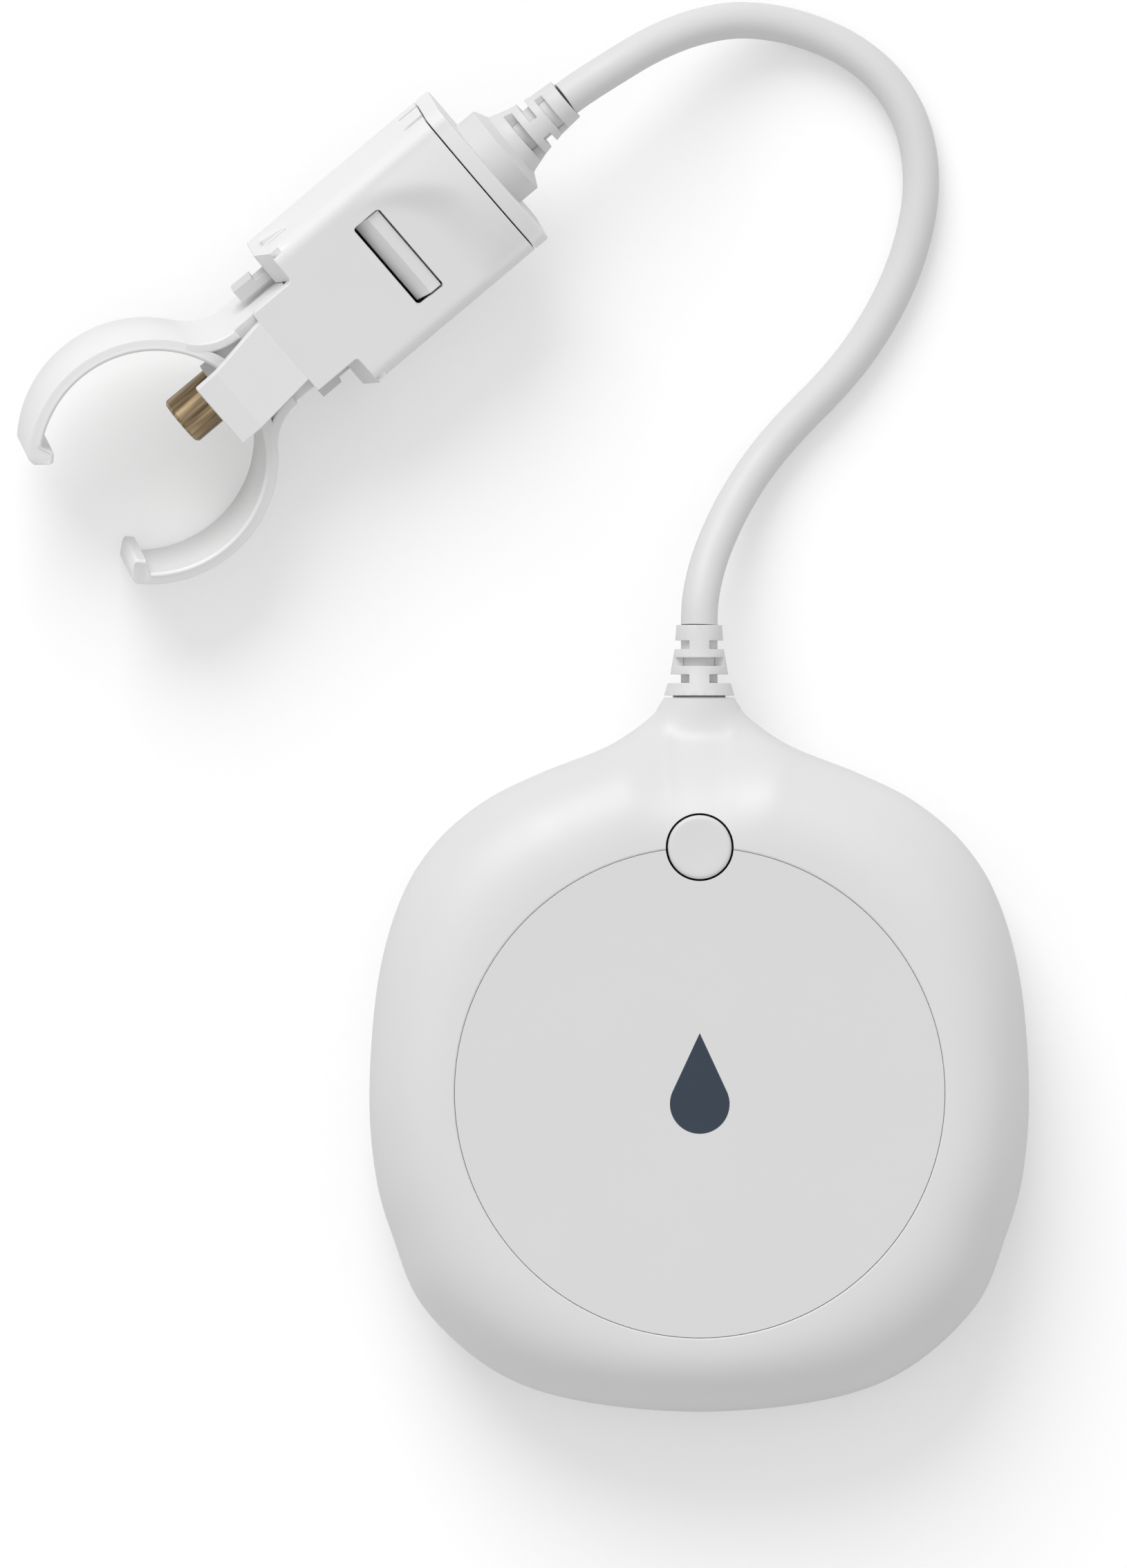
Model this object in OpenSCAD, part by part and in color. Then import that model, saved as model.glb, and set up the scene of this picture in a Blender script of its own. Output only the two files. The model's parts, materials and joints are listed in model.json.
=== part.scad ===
// Water leak detector: a wall puck with two cells and a radio, joined by a short
// cable to a sensor head that clips on a water pipe and presses a sprung brass
// contact against it. Millimetres. The puck lies on its flat back at z = 0, with
// the centre of its round face panel over the origin and its cable leaving at +Y.

/* [Puck shell] */
// Greatest width of the puck
puck_w = 95.4; // [92:0.1:102]
// From the centre of the face panel to the lower edge
puck_below = 46.3; // [45:0.1:50]
// From the centre of the face panel to the end of the neck
neck_y = 57; // [56:0.1:60]
// Radius of the neck where the cable leaves
neck_r = 5.1; // [4.9:0.1:5.6]
// Thickness of the puck
puck_h = 27; // [26.4:0.1:30]
// From the panel's seat down to the joint between the covers
joint_depth = 13; // [12.4:0.1:13.4]
// Wall of the two covers
shell_wall = 2.2; // [1.8:0.1:2.6]
// Thickness of the flat back
back_t = 2; // [1.6:0.1:2.6]
// Flat rim of the front cover round the face panel
rim_w = 0.3; // [0.2:0.1:0.6]
// Thickness of the floor under the face panel
floor_t = 1.8; // [1.4:0.1:2.2]

/* [Face panel] */
// Radius of the face panel
panel_r = 35.2; // [34.6:0.1:36]
// Thickness of the face panel
panel_t = 2; // [1.6:0.1:2.4]
// Gap between the face panel and its recess
panel_gap = 0.15; // [0.1:0.01:0.25]
// Height of the cover above its seat that frees the face panel
panel_lift = 4; // [3.4:0.1:6]
// Length of the legs that locate the face panel
leg_l = 3; // [2:0.1:3.2]
// Width of those legs
leg_w = 8; // [4:0.5:12]
// Thickness of those legs
leg_t = 1.2; // [0.8:0.1:1.4]
// From the middle of the face panel to the middle of a leg, along the cells
leg_x = 15; // [10:0.5:20]

/* [Button] */
// From the centre of the face panel to the button's centre
button_y = 35.4; // [35:0.1:36.4]
// Radius of the button
button_r = 4.65; // [4.2:0.05:5]
// Gap round the button
button_gap = 0.2; // [0.1:0.01:0.3]
// Travel of the button
button_travel = 0.5; // [0.2:0.05:0.6]
// Bevel of the button's top edge
button_bevel = 0.3; // [0.1:0.05:0.5]
// Wall of the sleeve that guides the button
sleeve_wall = 1.3; // [1:0.1:1.6]
// Height of the sleeve below the floor
sleeve_l = 3.9; // [3.4:0.1:4]
// How far the button's flange reaches under the sleeve
flange_reach = 1.1; // [0.8:0.1:1.3]
// Thickness of that flange
flange_t = 1; // [0.8:0.1:1.1]
// Gap between the flange and the sleeve, and between the button and the switch
press_gap = 0.05; // [0.03:0.01:0.1]

/* [Switch and light] */
// Side of the switch's square body
switch_side = 6; // [5:0.1:6.4]
// Height of the switch's body
switch_h = 1.5; // [1.2:0.1:1.6]
// Radius of the switch's plunger
plunger_r = 1.7; // [1.4:0.1:2]
// Length of the plunger inside the switch's body
plunger_in = 0.7; // [0.5:0.05:0.8]
// Length of the status light
led_l = 3.2; // [2:0.1:3.6]
// Width of the status light
led_w = 1.6; // [1:0.1:2]
// Height of the status light
led_h = 1.1; // [0.8:0.1:1.4]
// From the button's axis to the status light
led_x = 6.8; // [6:0.1:8]

/* [Cells] */
// Radius of a cell
cell_r = 7.25; // [7:0.05:7.3]
// Length of a cell without its pole
cell_l = 49.2; // [48:0.1:49.6]
// Radius of a cell's pole
pole_r = 2.75; // [2.4:0.05:3]
// Length of a cell's pole
pole_l = 1.3; // [1:0.1:1.4]
// Gap between the two cells
cell_gap = 0.2; // [0.1:0.05:0.4]
// Gap between the cells and the face panel
cell_top_gap = 0.7; // [0.4:0.1:1]
// Wall and floor of the battery tray
tray_wall = 1.4; // [1.2:0.1:1.6]
// Gap between the cells and the tray
tray_gap = 0.15; // [0.1:0.05:0.3]
// Flange of the tray under the floor, outside its walls
tray_flange = 2; // [1.6:0.1:2.2]
// Thickness of the tray's flange
tray_flange_t = 1.2; // [1:0.1:1.4]
// Thickness of the contact plates
contact_t = 0.4; // [0.3:0.05:0.5]
// Height of the contact plates
contact_h = 10; // [8:0.5:11]
// Width of a single contact plate
contact_w = 9; // [8:0.5:11]
// Length of the contact springs
bat_spring_l = 3; // [2.6:0.1:3.4]
// Wire radius of the contact springs
bat_wire_r = 0.4; // [0.3:0.05:0.45]
// Radius of the contact springs at the plate
bat_spring_r = 3.6; // [3:0.1:4]
// Radius of the contact springs at the cell
bat_spring_tip_r = 2.2; // [1.8:0.1:2.6]
// Turns of the contact springs
bat_spring_turns = 4; // [4:1:6]

/* [Main board] */
// Radius of the main board
board_r = 38.5; // [38:0.1:39]
// Thickness of the main board
board_t = 1.6; // [1.4:0.1:1.8]
// From the panel's seat down to the main board's underside
board_depth = 11; // [10.8:0.1:11.2]
// From the covers' inside to the board's flat sides
board_side_gap = 7.5; // [7:0.1:8]
// Gap between the main board and the battery tray
board_gap = 0.6; // [0.4:0.1:0.8]
// From the middle to the board's screws, across
board_screw_x = 24; // [22:0.5:26]
// From the middle to the board's screws, along
board_screw_y = 22; // [21:0.5:24]
// Radius of the posts under the board
post_r = 2.6; // [2.2:0.1:3]
// Length of the radio module
radio_l = 18; // [16:0.5:20]
// Width of the radio module
radio_w = 14; // [12:0.5:15]
// Thickness of the radio module's board
radio_t = 0.8; // [0.6:0.1:1]
// Side of the radio's shield
shield_side = 11.5; // [10:0.5:12]
// Height of the radio's shield
shield_h = 2.4; // [2:0.1:3]
// From the middle to the radio module's middle
radio_y = 25.5; // [25:0.5:27]
// Wall of the radio's shield
shield_wall = 0.2; // [0.15:0.05:0.3]

/* [Cover screws] */
// From the middle to the cover screws, across
cover_screw_x = 31; // [30:0.5:32]
// From the middle to the cover screws, along
cover_screw_y = 25; // [24:0.5:26]
// Radius of the screw bosses
boss_r = 3.2; // [3:0.1:3.6]
// Radius of a cover screw's shank
cover_shank_r = 1.2; // [1:0.05:1.3]
// Radius of a cover screw's head
cover_head_r = 2.6; // [2.2:0.1:2.8]
// Height of a cover screw's head
cover_head_h = 1.8; // [1.4:0.1:2]
// Depth of the pocket for a cover screw's head
head_pocket = 3; // [2.4:0.1:3.4]
// Length of a cover screw's shank
cover_shank_l = 15; // [12:0.5:16]
// Gap round a screw in the piece that it passes through
screw_gap = 0.4; // [0.3:0.05:0.5]
// Gap round a screw in the piece that it bites in
thread_gap = 0.05; // [0.03:0.01:0.08]
// Radius of the small screws' shanks
small_shank_r = 0.8; // [0.7:0.05:0.9]
// Radius of the small screws' heads
small_head_r = 1.7; // [1.5:0.1:1.9]
// Height of the small screws' heads
small_head_h = 1.1; // [0.9:0.1:1.3]
// Length of the small screws' shanks
small_shank_l = 6; // [5:0.5:8]
// Width of the cross in a screw's head
cross_w = 0.5; // [0.4:0.05:0.6]
// Length of that cross, as a share of the head's width
cross_share = 0.6; // [0.5:0.05:0.7]

/* [Mounting pad] */
// Radius of the foam pad on the back
pad_r = 24; // [20:0.5:28]
// Thickness of the foam pad
pad_t = 1; // [0.8:0.1:1.2]
// Gap round the foam pad
pad_gap = 0.3; // [0.2:0.1:0.5]

/* [Cable] */
// Radius of the cable
cable_r = 2.65; // [2.5:0.05:2.8]
// Gap round the cable in its strain reliefs
cable_gap = 0.05; // [0.03:0.01:0.1]
// From the middle of the puck to the inner end of the cable's sheath
sheath_y = 40; // [39.5:0.5:41]
// Width of the flat lead inside the puck
lead_w = 4; // [3:0.1:4.5]
// Thickness of the flat leads
lead_t = 1; // [0.8:0.1:1.2]
// Length of the lead socket on the main board
socket_l = 8; // [7:0.5:9]
// Depth of the lead socket
socket_d = 5; // [4:0.5:6]
// Height of the lead socket
socket_h = 4; // [3.6:0.1:4]
// From the middle to the lead socket, across
socket_x = 13; // [12:0.5:14]
// From the middle to the lead socket's front, along
socket_y = 35; // [34:0.5:35.5]
// Length of the lead's plug
plug_d = 3; // [2.6:0.1:3.4]

/* [Cable clamp] */
// From the middle of the puck to the clamp
clamp_y = 44; // [43.5:0.5:44.5]
// Width of the clamp along the cable
clamp_d = 3; // [2.6:0.1:3.4]
// From the cable to the clamp's screws
clamp_screw_x = 6; // [5.6:0.1:6.4]
// Thickness of the clamp over the cable
clamp_t = 1.6; // [1.2:0.1:2]

/* [Strain reliefs] */
// Length of a strain relief's tapered part
relief_l = 10.2; // [9.8:0.1:11]
// Radius of a relief at its base
relief_base_r = 5.1; // [4.8:0.1:5.4]
// Radius of a relief a third of the way up
relief_mid_r = 4.2; // [4:0.1:4.4]
// Radius of a relief at its last notch
relief_waist_r = 3.55; // [3.4:0.05:3.8]
// Radius of a relief at its tip
relief_tip_r = 3.3; // [3.2:0.05:3.5]
// Length of each notch
notch_l = 1.25; // [1:0.05:1.4]
// From the base to the first notch
notch_start = 1.8; // [1.6:0.1:2]
// From each notch to the next
notch_step = 2.45; // [2.4:0.05:2.6]
// Half the width of the webs that the notches leave
web_half = 1.45; // [1.2:0.05:1.7]
// Gap between the neck and the strain relief
relief_gap = 0.3; // [0.2:0.05:0.4]
// Radius of the relief's throat in the neck
throat_r = 3.8; // [3.6:0.05:3.9]
// Length of the throat
throat_l = 4; // [3.6:0.1:4.4]
// Radius of the relief's flange inside the neck
anchor_r = 4.9; // [4.6:0.1:5]
// Thickness of that flange
anchor_t = 2.4; // [2:0.1:2.8]
// Gap round the relief's throat and flange
anchor_gap = 0.1; // [0.05:0.01:0.15]

/* [Head place] */
// From the puck's middle to the head's seam, across
head_x = -32.45; // [-34:0.05:-31]
// From the puck's middle to the head's seam, along
head_y = 132.45; // [131:0.05:134]
// Direction in which the head points, from +X
head_turn = -140; // [-142:0.5:-138]
// Sideways lean of the head
head_roll = 15; // [14:0.5:16]
// Forward dip of the head
head_pitch = 3; // [2.5:0.5:3.5]
// Gap between the pipe clip and the surface
rest_gap = 0.05; // [0.02:0.01:0.1]

/* [Head housing] */
// Width of the head housing
head_w = 25.2; // [25:0.1:26]
// Height of the head housing
head_h = 16.6; // [16.4:0.1:17.4]
// Radius of its long edges
head_edge_r = 2.2; // [1.6:0.1:2.6]
// Wall of the head housing
head_wall = 1.4; // [1.2:0.1:1.5]
// Length of the housing's top
head_l = 29.7; // [29.4:0.1:30.4]
// How far the lower half reaches past the top
ledge_l = 2.1; // [1.6:0.1:2.6]
// Height of the ledge above the axis
ledge_top = 3; // [2:0.1:3.4]
// Seam between the housing and its cap
seam = 0.12; // [0.08:0.01:0.2]
// Thickness of the cap
cap_t = 2.4; // [2:0.1:2.8]
// Height of the crown over the flat top
crown_h = 1.6; // [1:0.1:2]
// Radius of the crown
crown_r = 34.6; // [30:0.2:40]
// Slope of the crown towards the flat top
crown_slope = 10; // [8:0.5:12]
// Length of the tongue past the top
tongue_l = 7.4; // [7:0.1:8]
// Width of the tongue
tongue_w = 15; // [14:0.1:16]
// Thickness of the tongue
tongue_t = 1.8; // [1.6:0.1:2]
// Width of the nose over the contact
nose_w = 10.6; // [10:0.1:11.2]
// From the housing's front to the nose's front edge
nose_reach = 20.4; // [19.3:0.1:21.3]
// From the housing's front to the crease near the nose's front
crease_reach = 16.7; // [15.9:0.1:17.3]
// Height of that crease over the flat top
nose_crease_h = 3.9; // [3.4:0.1:4.2]
// Height of the nose's front edge over the flat top
nose_h = 4.3; // [4:0.1:4.6]
// Thickness of the nose
nose_t = 1.5; // [1.2:0.1:1.7]
// Height of the wedges on the side walls
wedge_h = 0.8; // [0.5:0.1:1]
// Length of those wedges
wedge_l = 4.6; // [4:0.1:5]
// Half the width of those wedges
wedge_half = 1.2; // [0.8:0.1:1.5]
// Length of the finger grooves by the seam
groove_l = 3.4; // [3:0.1:4]
// Depth of the finger grooves
groove_depth = 0.5; // [0.3:0.05:0.8]
// Radius of the wide groove
groove_r = 0.75; // [0.5:0.05:1]
// Height of the wide groove over the axis
groove_w = 3; // [2.4:0.1:3.4]
// Radius of the narrow groove
slit_r = 0.3; // [0.2:0.05:0.4]
// Height of the narrow groove under the axis
slit_w = 3.6; // [3:0.1:4]

/* [Latch] */
// From the seam to the latch window
window_u = 13.3; // [13:0.1:13.6]
// Length of the window along the head
window_l = 4.8; // [4.4:0.1:5]
// Width of the window across the head
window_w = 15.14; // [14.6:0.02:15.6]
// Radius of the window's corners
window_r = 0.5; // [0.3:0.05:0.7]
// Gap round the latch's tab
tab_gap = 0.3; // [0.2:0.05:0.4]
// Depth of the tab's top under the flat top
tab_sink = 0.5; // [0.3:0.1:0.8]
// Length of the tab's flat top
tab_flat = 1.9; // [1.6:0.1:2.2]
// Drop of the tab's slope
tab_drop = 1.9; // [1.5:0.1:2.2]
// Thickness of the latch's arm
latch_t = 1.3; // [1.1:0.1:1.5]
// From the seam to the latch's pin
latch_u = 3.5; // [3.2:0.1:4]
// Radius of the latch's pin
latch_pin_r = 0.8; // [0.7:0.05:0.9]
// Radius of the latch's knuckle
knuckle_r = 1.35; // [1.3:0.05:1.45]
// Height of the latch's pin over the axis
latch_w = 5.25; // [5.1:0.05:5.3]
// Clearance of moving fits
fit_gap = 0.05; // [0.03:0.01:0.08]

/* [Sensor carrier] */
// From the seam to the carrier's back
carrier_u = 1; // [0.8:0.1:1.4]
// From the housing's front back to the carrier's front
carrier_back = 2.1; // [1.7:0.1:2.7]
// Thickness of the carrier's floor
carrier_t = 1.4; // [1.2:0.1:1.6]
// Gap between the carrier and the housing
carrier_gap = 0.2; // [0.1:0.05:0.3]
// Thickness of the carrier's cheeks
cheek_t = 1.4; // [1.2:0.1:1.6]
// Length of the cheeks along the head
cheek_l = 5; // [4.6:0.1:5.4]
// From the housing's front back to the bulkhead behind the contact
bulkhead_back = 11.3; // [10.9:0.1:11.4]
// Thickness of the bulkhead
bulkhead_t = 1.8; // [1.5:0.1:2]
// Height of the bulkhead over the axis
bulkhead_top = 3; // [2.6:0.1:3.2]
// Wall of the snout that guides the contact
snout_wall = 0.7; // [0.6:0.05:0.8]
// From the housing's front to the snout's end
snout_reach = 18.5; // [17.9:0.1:18.9]
// From the carrier's side to the middle of a snap finger
finger_inset = 2.1; // [2:0.1:2.3]
// Gap between a snap finger and the clip's stem
finger_gap = 1.1; // [0.9:0.1:1.3]
// Thickness of a snap finger
finger_t = 1.2; // [1:0.1:1.3]
// Half the height of a snap finger
finger_half = 2; // [1.6:0.1:2.4]
// From the housing's front to the hooks' ends
hook_reach = 7.7; // [7.3:0.1:8.1]
// Length of the hooks
hook_l = 3.4; // [3:0.1:3.8]
// Thickness of the hooks
hook_t = 2; // [1.8:0.1:2.2]

/* [Contact] */
// Radius of the brass contact
contact_r = 3.75; // [3.6:0.05:3.8]
// From the housing's front to the contact's tip
contact_reach = 25.9; // [25.3:0.1:26.3]
// From the housing's front to the contact's inner end
contact_back_reach = 0.3; // [0.1:0.5:1.3]
// Travel of the contact
contact_travel = 6; // [4:0.5:6.5]
// Rounding of the contact's tip
contact_edge = 0.6; // [0.4:0.1:0.8]
// Radius of the contact's bore
contact_bore_r = 1.4; // [1.2:0.1:1.6]
// Thickness of brass in front of the bore
contact_face_t = 2; // [1.5:0.1:2.5]
// Radius of the heat sensor
sensor_r = 1.1; // [1:0.05:1.15]
// Length of the heat sensor
sensor_l = 4; // [3:0.1:5]
// Radius of the sensor's sheath
sheath_r = 0.8; // [0.6:0.05:0.9]
// Radius of the spring's wire
spring_wire_r = 0.4; // [0.3:0.05:0.5]
// Middle radius of the spring
spring_r = 3; // [2.8:0.05:3.2]
// Free turns of the spring
spring_turns = 6; // [4:1:7]

/* [Head board] */
// From the head board's end to the bulkhead
head_board_gap = 2.15; // [2:0.05:2.4]
// Width of the head board
head_board_w = 16; // [14:0.5:18]
// Thickness of the head board
head_board_t = 1; // [0.8:0.1:1.2]
// Height of the ribs under the head board
head_rib_h = 1; // [0.8:0.1:1.2]
// From the seam to the inner end of the head's sheath
head_sheath_u = 2.4; // [2:0.1:3]
// Length of the head's flat lead
head_lead_l = 4; // [3:0.5:5]

/* [Head collar] */
// Radius of the collar behind the cap
collar_r = 7.2; // [7:0.1:7.4]
// Length of the collar
collar_l = 3.3; // [3:0.1:3.6]
// Length of the collar's bevel
collar_bevel = 1.1; // [0.8:0.1:1.3]
// Thickness of the collar's flange inside the cap
flange_in_t = 1; // [0.8:0.1:1.2]
// Height of that flange over its throat
flange_in_reach = 1.4; // [1:0.1:1.8]

/* [Pipe clip] */
// From the housing's front to the middle of the pipe
ring_reach = 32.2; // [31.3:0.1:33.3]
// Inner radius of the clip
ring_r = 16.4; // [16:0.1:17]
// Wall of the clip
ring_wall = 1.8; // [1.6:0.1:2]
// Depth of the clip along the pipe
ring_d = 15.4; // [14.6:0.1:15.6]
// Half the angle of the clip's mouth
mouth_angle = 39.7; // [38:0.1:41]
// Angle from the stem's flare to each arm's hinge
hinge_past = 4.5; // [4:0.5:6]
// How far each arm opens
arm_travel = 10; // [8:0.5:12]
// Radius at which the lips end
lip_r = 14.4; // [14:0.1:14.8]
// Angle that each lip covers
lip_angle = 7; // [6:0.5:8]
// Bevel of the clip's edges
ring_bevel = 0.4; // [0.2:0.1:0.5]
// Gap round the arms' hinges
hinge_gap = 0.06; // [0.04:0.01:0.1]
// Radius of the fillets between the stem and the ring
stem_fillet = 8; // [7:0.1:9]
// From the housing's front to the stem's back
stem_reach = 1.3; // [0.7:0.1:1.7]
// Height of the stem over the axis
stem_top = 6.2; // [6:0.1:6.4]
// Gap round the snout in the stem
stem_gap = 0.1; // [0.05:0.01:0.2]

/* [Hidden] */

$fn = 72;
// Overrun of every cut
over = 0.5;

// Right half of the puck's outline, from the neck to the widest place, as shares
// of half the width and of neck_y
upper_shares = [[0.12, 0.982], [0.153, 0.947], [0.277, 0.877], [0.486, 0.807],
    [0.652, 0.737], [0.799, 0.632], [0.904, 0.491], [0.974, 0.28], [1, 0]];
// From the widest place to the bottom, as shares of half the width and of puck_below
lower_shares = [[0.981, 0.26], [0.93, 0.45], [0.838, 0.67], [0.629, 0.867],
    [0.377, 0.963]];
// Edge of the flat back, as a share of the way from the panel's circle to the outline
back_share = 0.45;
// Points between two marks of the outline, outside and inside
outer_steps = 2;
inner_steps = 1;
// Angles of the rings of a cover, from the joint to the flat, outside and inside
outer_angles = [0, 18, 36, 54, 72, 90];
inner_angles = [0, 30, 60, 90];

recess_r = panel_r + panel_gap;
dome_r = recess_r + rim_w;
recess_z = puck_h - panel_t;
// Height of the joint between the covers, and of the neck's axis
part_z = recess_z - joint_depth;
board_z = recess_z - board_depth;
ceiling_z = recess_z - floor_t;
cavity_r = dome_r - shell_wall;
throat_bore_r = throat_r + anchor_gap;
anchor_bore_r = anchor_r + anchor_gap;
anchor_end_y = neck_y - throat_l;
anchor_start_y = anchor_end_y - anchor_t - 2 * anchor_gap;
plug_y = anchor_start_y - shell_wall;

button_hole_r = button_r + button_gap;
sleeve_r = button_hole_r + sleeve_wall;
sleeve_z = ceiling_z - sleeve_l;
flange_z = sleeve_z - press_gap - flange_t;
board_top = board_z + board_t;
plunger_top = flange_z - press_gap;

tray_l = cell_l + pole_l + bat_spring_l + 2 * contact_t + tray_gap;
tray_w = 4 * cell_r + cell_gap + 2 * tray_gap;
cell_z = recess_z - cell_top_gap - cell_r;
tray_floor_z = cell_z - cell_r - tray_gap;
cell_y = cell_r + cell_gap / 2;

// Places along the head's axis, from the seam
nose_u = head_l + nose_reach;
nose_crease_u = head_l + crease_reach;
carrier_end_u = head_l - carrier_back;
bulkhead_u = head_l - bulkhead_back;
snout_u = head_l + snout_reach;
hook_u = head_l + hook_reach;
contact_u = head_l + contact_reach;
head_board_l = bulkhead_u - carrier_u - cheek_l / 4 - head_board_gap;
contact_back_u = head_l + contact_back_reach;
ring_u = head_l + ring_reach;
stem_u = head_l + stem_reach;
head_z = rest_gap + ring_u * sin(head_pitch) + ring_d / 2 * cos(head_roll) * cos(head_pitch)
    + (ring_r + ring_wall) * sqrt(pow(sin(head_roll), 2) + pow(cos(head_roll) * sin(head_pitch), 2));
head_half_w = head_w / 2;
head_half_h = head_h / 2;
inner_half_w = head_half_w - head_wall;
inner_half_h = head_half_h - head_wall;
snout_r = contact_r + fit_gap + snout_wall;
finger_v = inner_half_w - carrier_gap - finger_inset;
stem_half = finger_v - finger_t / 2 - finger_gap;
ring_out_r = ring_r + ring_wall;
ring_mid_r = ring_r + ring_wall / 2;
ring_half = ring_d / 2;
collar_end_u = seam + cap_t + collar_l;
head_relief_u = collar_end_u + collar_bevel;
head_tip_u = head_relief_u + relief_l;
puck_tip_y = neck_y + relief_gap + relief_l;

// The cable's route over the surface, by hand: out of the puck's strain relief,
// down to the surface, round, and up to the head's strain relief
cable_route = [[0.3, 72, 11.4], [1.5, 77, 9.4], [3.8, 82.6, 6.8], [6.8, 88, 4.6],
    [10.4, 93, 3.2], [14.5, 97.6, 2.7], [18.8, 102, 2.7], [22.8, 106.8, 2.7],
    [26.2, 112, 2.7], [29, 117.6, 2.7], [31, 123.5, 2.7], [32.1, 129.7, 2.7],
    [31.9, 135.9, 2.7], [30.2, 141.7, 2.7], [26.9, 146.7, 2.7], [22.4, 150.5, 2.7],
    [17.1, 153.1, 3], [11.3, 154.7, 4.2], [5.2, 155.1, 6.4], [-0.8, 153.9, 9.4],
    [-6.4, 151.6, 12.4], [-11.7, 148.5, 15]];
// Rings of the cable between two points of its route
cable_steps = 2;
// Sides of the cable
cable_sides = 10;

function mix(a, b, t) = a + (b - a) * t;
function unit(v) = v / norm(v);
function cross_up(v) = unit([-v[1], v[0], 0]);

// Smooth curve through a, b, c and d, between b and c
function spline_point(a, b, c, d, t) = 0.5 * (2 * b + (c - a) * t
    + (2 * a - 5 * b + 4 * c - d) * t * t + (3 * b - a - 3 * c + d) * t * t * t);
function spline(p, steps) = [for (i = [1:len(p) - 3], k = [0:steps - 1])
    spline_point(p[i - 1], p[i], p[i + 1], p[i + 2], k / steps)];

// Marks of the outline's right half, with one more past each end for the curve
function outline_marks() = concat(
    [[2 * neck_r - upper_shares[0][0] * puck_w / 2, 2 * neck_y - upper_shares[0][1] * neck_y]],
    [[neck_r, neck_y]],
    [for (s = upper_shares) [s[0] * puck_w / 2, s[1] * neck_y]],
    [for (s = lower_shares) [s[0] * puck_w / 2, -s[1] * puck_below]],
    [[0, -puck_below]],
    [[-lower_shares[4][0] * puck_w / 2, -lower_shares[4][1] * puck_below]]);
function right_half(steps) = concat(spline(outline_marks(), steps), [[0, -puck_below]]);
// Whole outline, from the neck's right corner down, round and up to its left corner
function outline(steps) = let (half = right_half(steps), n = len(half))
    concat(half, [for (i = [n - 2:-1:0]) [-half[i][0], half[i][1]]]);
// The outline drawn in by a wall
function inset(points, wall) = let (n = len(points)) [for (i = [0:n - 1])
    let (along = points[(i + 1) % n] - points[(i + n - 1) % n])
    points[i] + wall * unit([along[1], -along[0]])];

// The cavity's outline: the outer one drawn in by the wall, and cut off at the neck
function cavity_outline() = [for (p = inset(outline(inner_steps), shell_wall)) if (p[1] < plug_y) p];

// One ring of a cover: a share of the way from a circle to the outline, at a height
function ring(points, r, share, z) = [for (p = points)
    let (q = mix(r * unit(p), p, share)) [q[0], q[1], z]];
// Rings of a cover whose section is a quarter of an ellipse, from the joint at z0
// to a flat at z1 that ends at a share of the way
function cover_rings(points, r, flat_share, z0, z1, angles) = [for (a = angles)
    ring(points, r, mix(flat_share, 1, cos(a)), mix(z0, z1, sin(a)))];

// Closed solid through a list of rings with equal counts of points. The rings go
// up with their points clockwise, seen from above.
module loft(rings) {
    count = len(rings[0]);
    last = len(rings) - 1;
    sides = [for (j = [0:last - 1], i = [0:count - 1], half = [0, 1])
        let (next = (i + 1) % count, low = j * count, high = low + count)
        half == 0 ? [low + i, low + next, high + next] : [low + i, high + next, high + i]];
    polyhedron([for (r = rings, p = r) p],
        concat(sides, [[for (i = [count - 1:-1:0]) i]],
            [[for (i = [0:count - 1]) last * count + i]]));
}

function reversed(list) = [for (i = [len(list) - 1:-1:0]) list[i]];

// A rod along +Y, from y0 to y1, at the height of the joint
module neck_rod(r, y0, y1) {
    translate([0, y0, part_z]) rotate([-90, 0, 0]) cylinder(r = r, h = y1 - y0);
}

// Four copies at the places of the cover screws or of the board's screws
module at_corners(x, y) {
    for (sx = [-1, 1], sy = [-1, 1]) translate([sx * x, sy * y, 0]) children();
}

// Pan-head screw along +Z, its head below z = 0
module screw(shank_r, shank_l, head_r, head_h) {
    difference() {
        union() {
            cylinder(r = shank_r, h = shank_l);
            translate([0, 0, -head_h]) cylinder(r = head_r, h = head_h);
        }
        for (turn = [0, 90]) rotate([0, 0, turn])
            translate([-head_r * cross_share, -cross_w / 2, -head_h - over])
                cube([2 * head_r * cross_share, cross_w, head_h / 2 + over]);
    }
}

// Everything of the puck above or below the joint
module above_joint() {
    translate([-puck_w, -puck_w, part_z]) cube([2 * puck_w, 2 * puck_w, puck_h]);
}

module neck_cuts() {
    neck_rod(throat_bore_r, anchor_end_y - over, neck_y + over);
    neck_rod(anchor_bore_r, anchor_start_y, anchor_end_y);
    neck_rod(throat_bore_r, plug_y - shell_wall, anchor_start_y + over);
}

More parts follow.
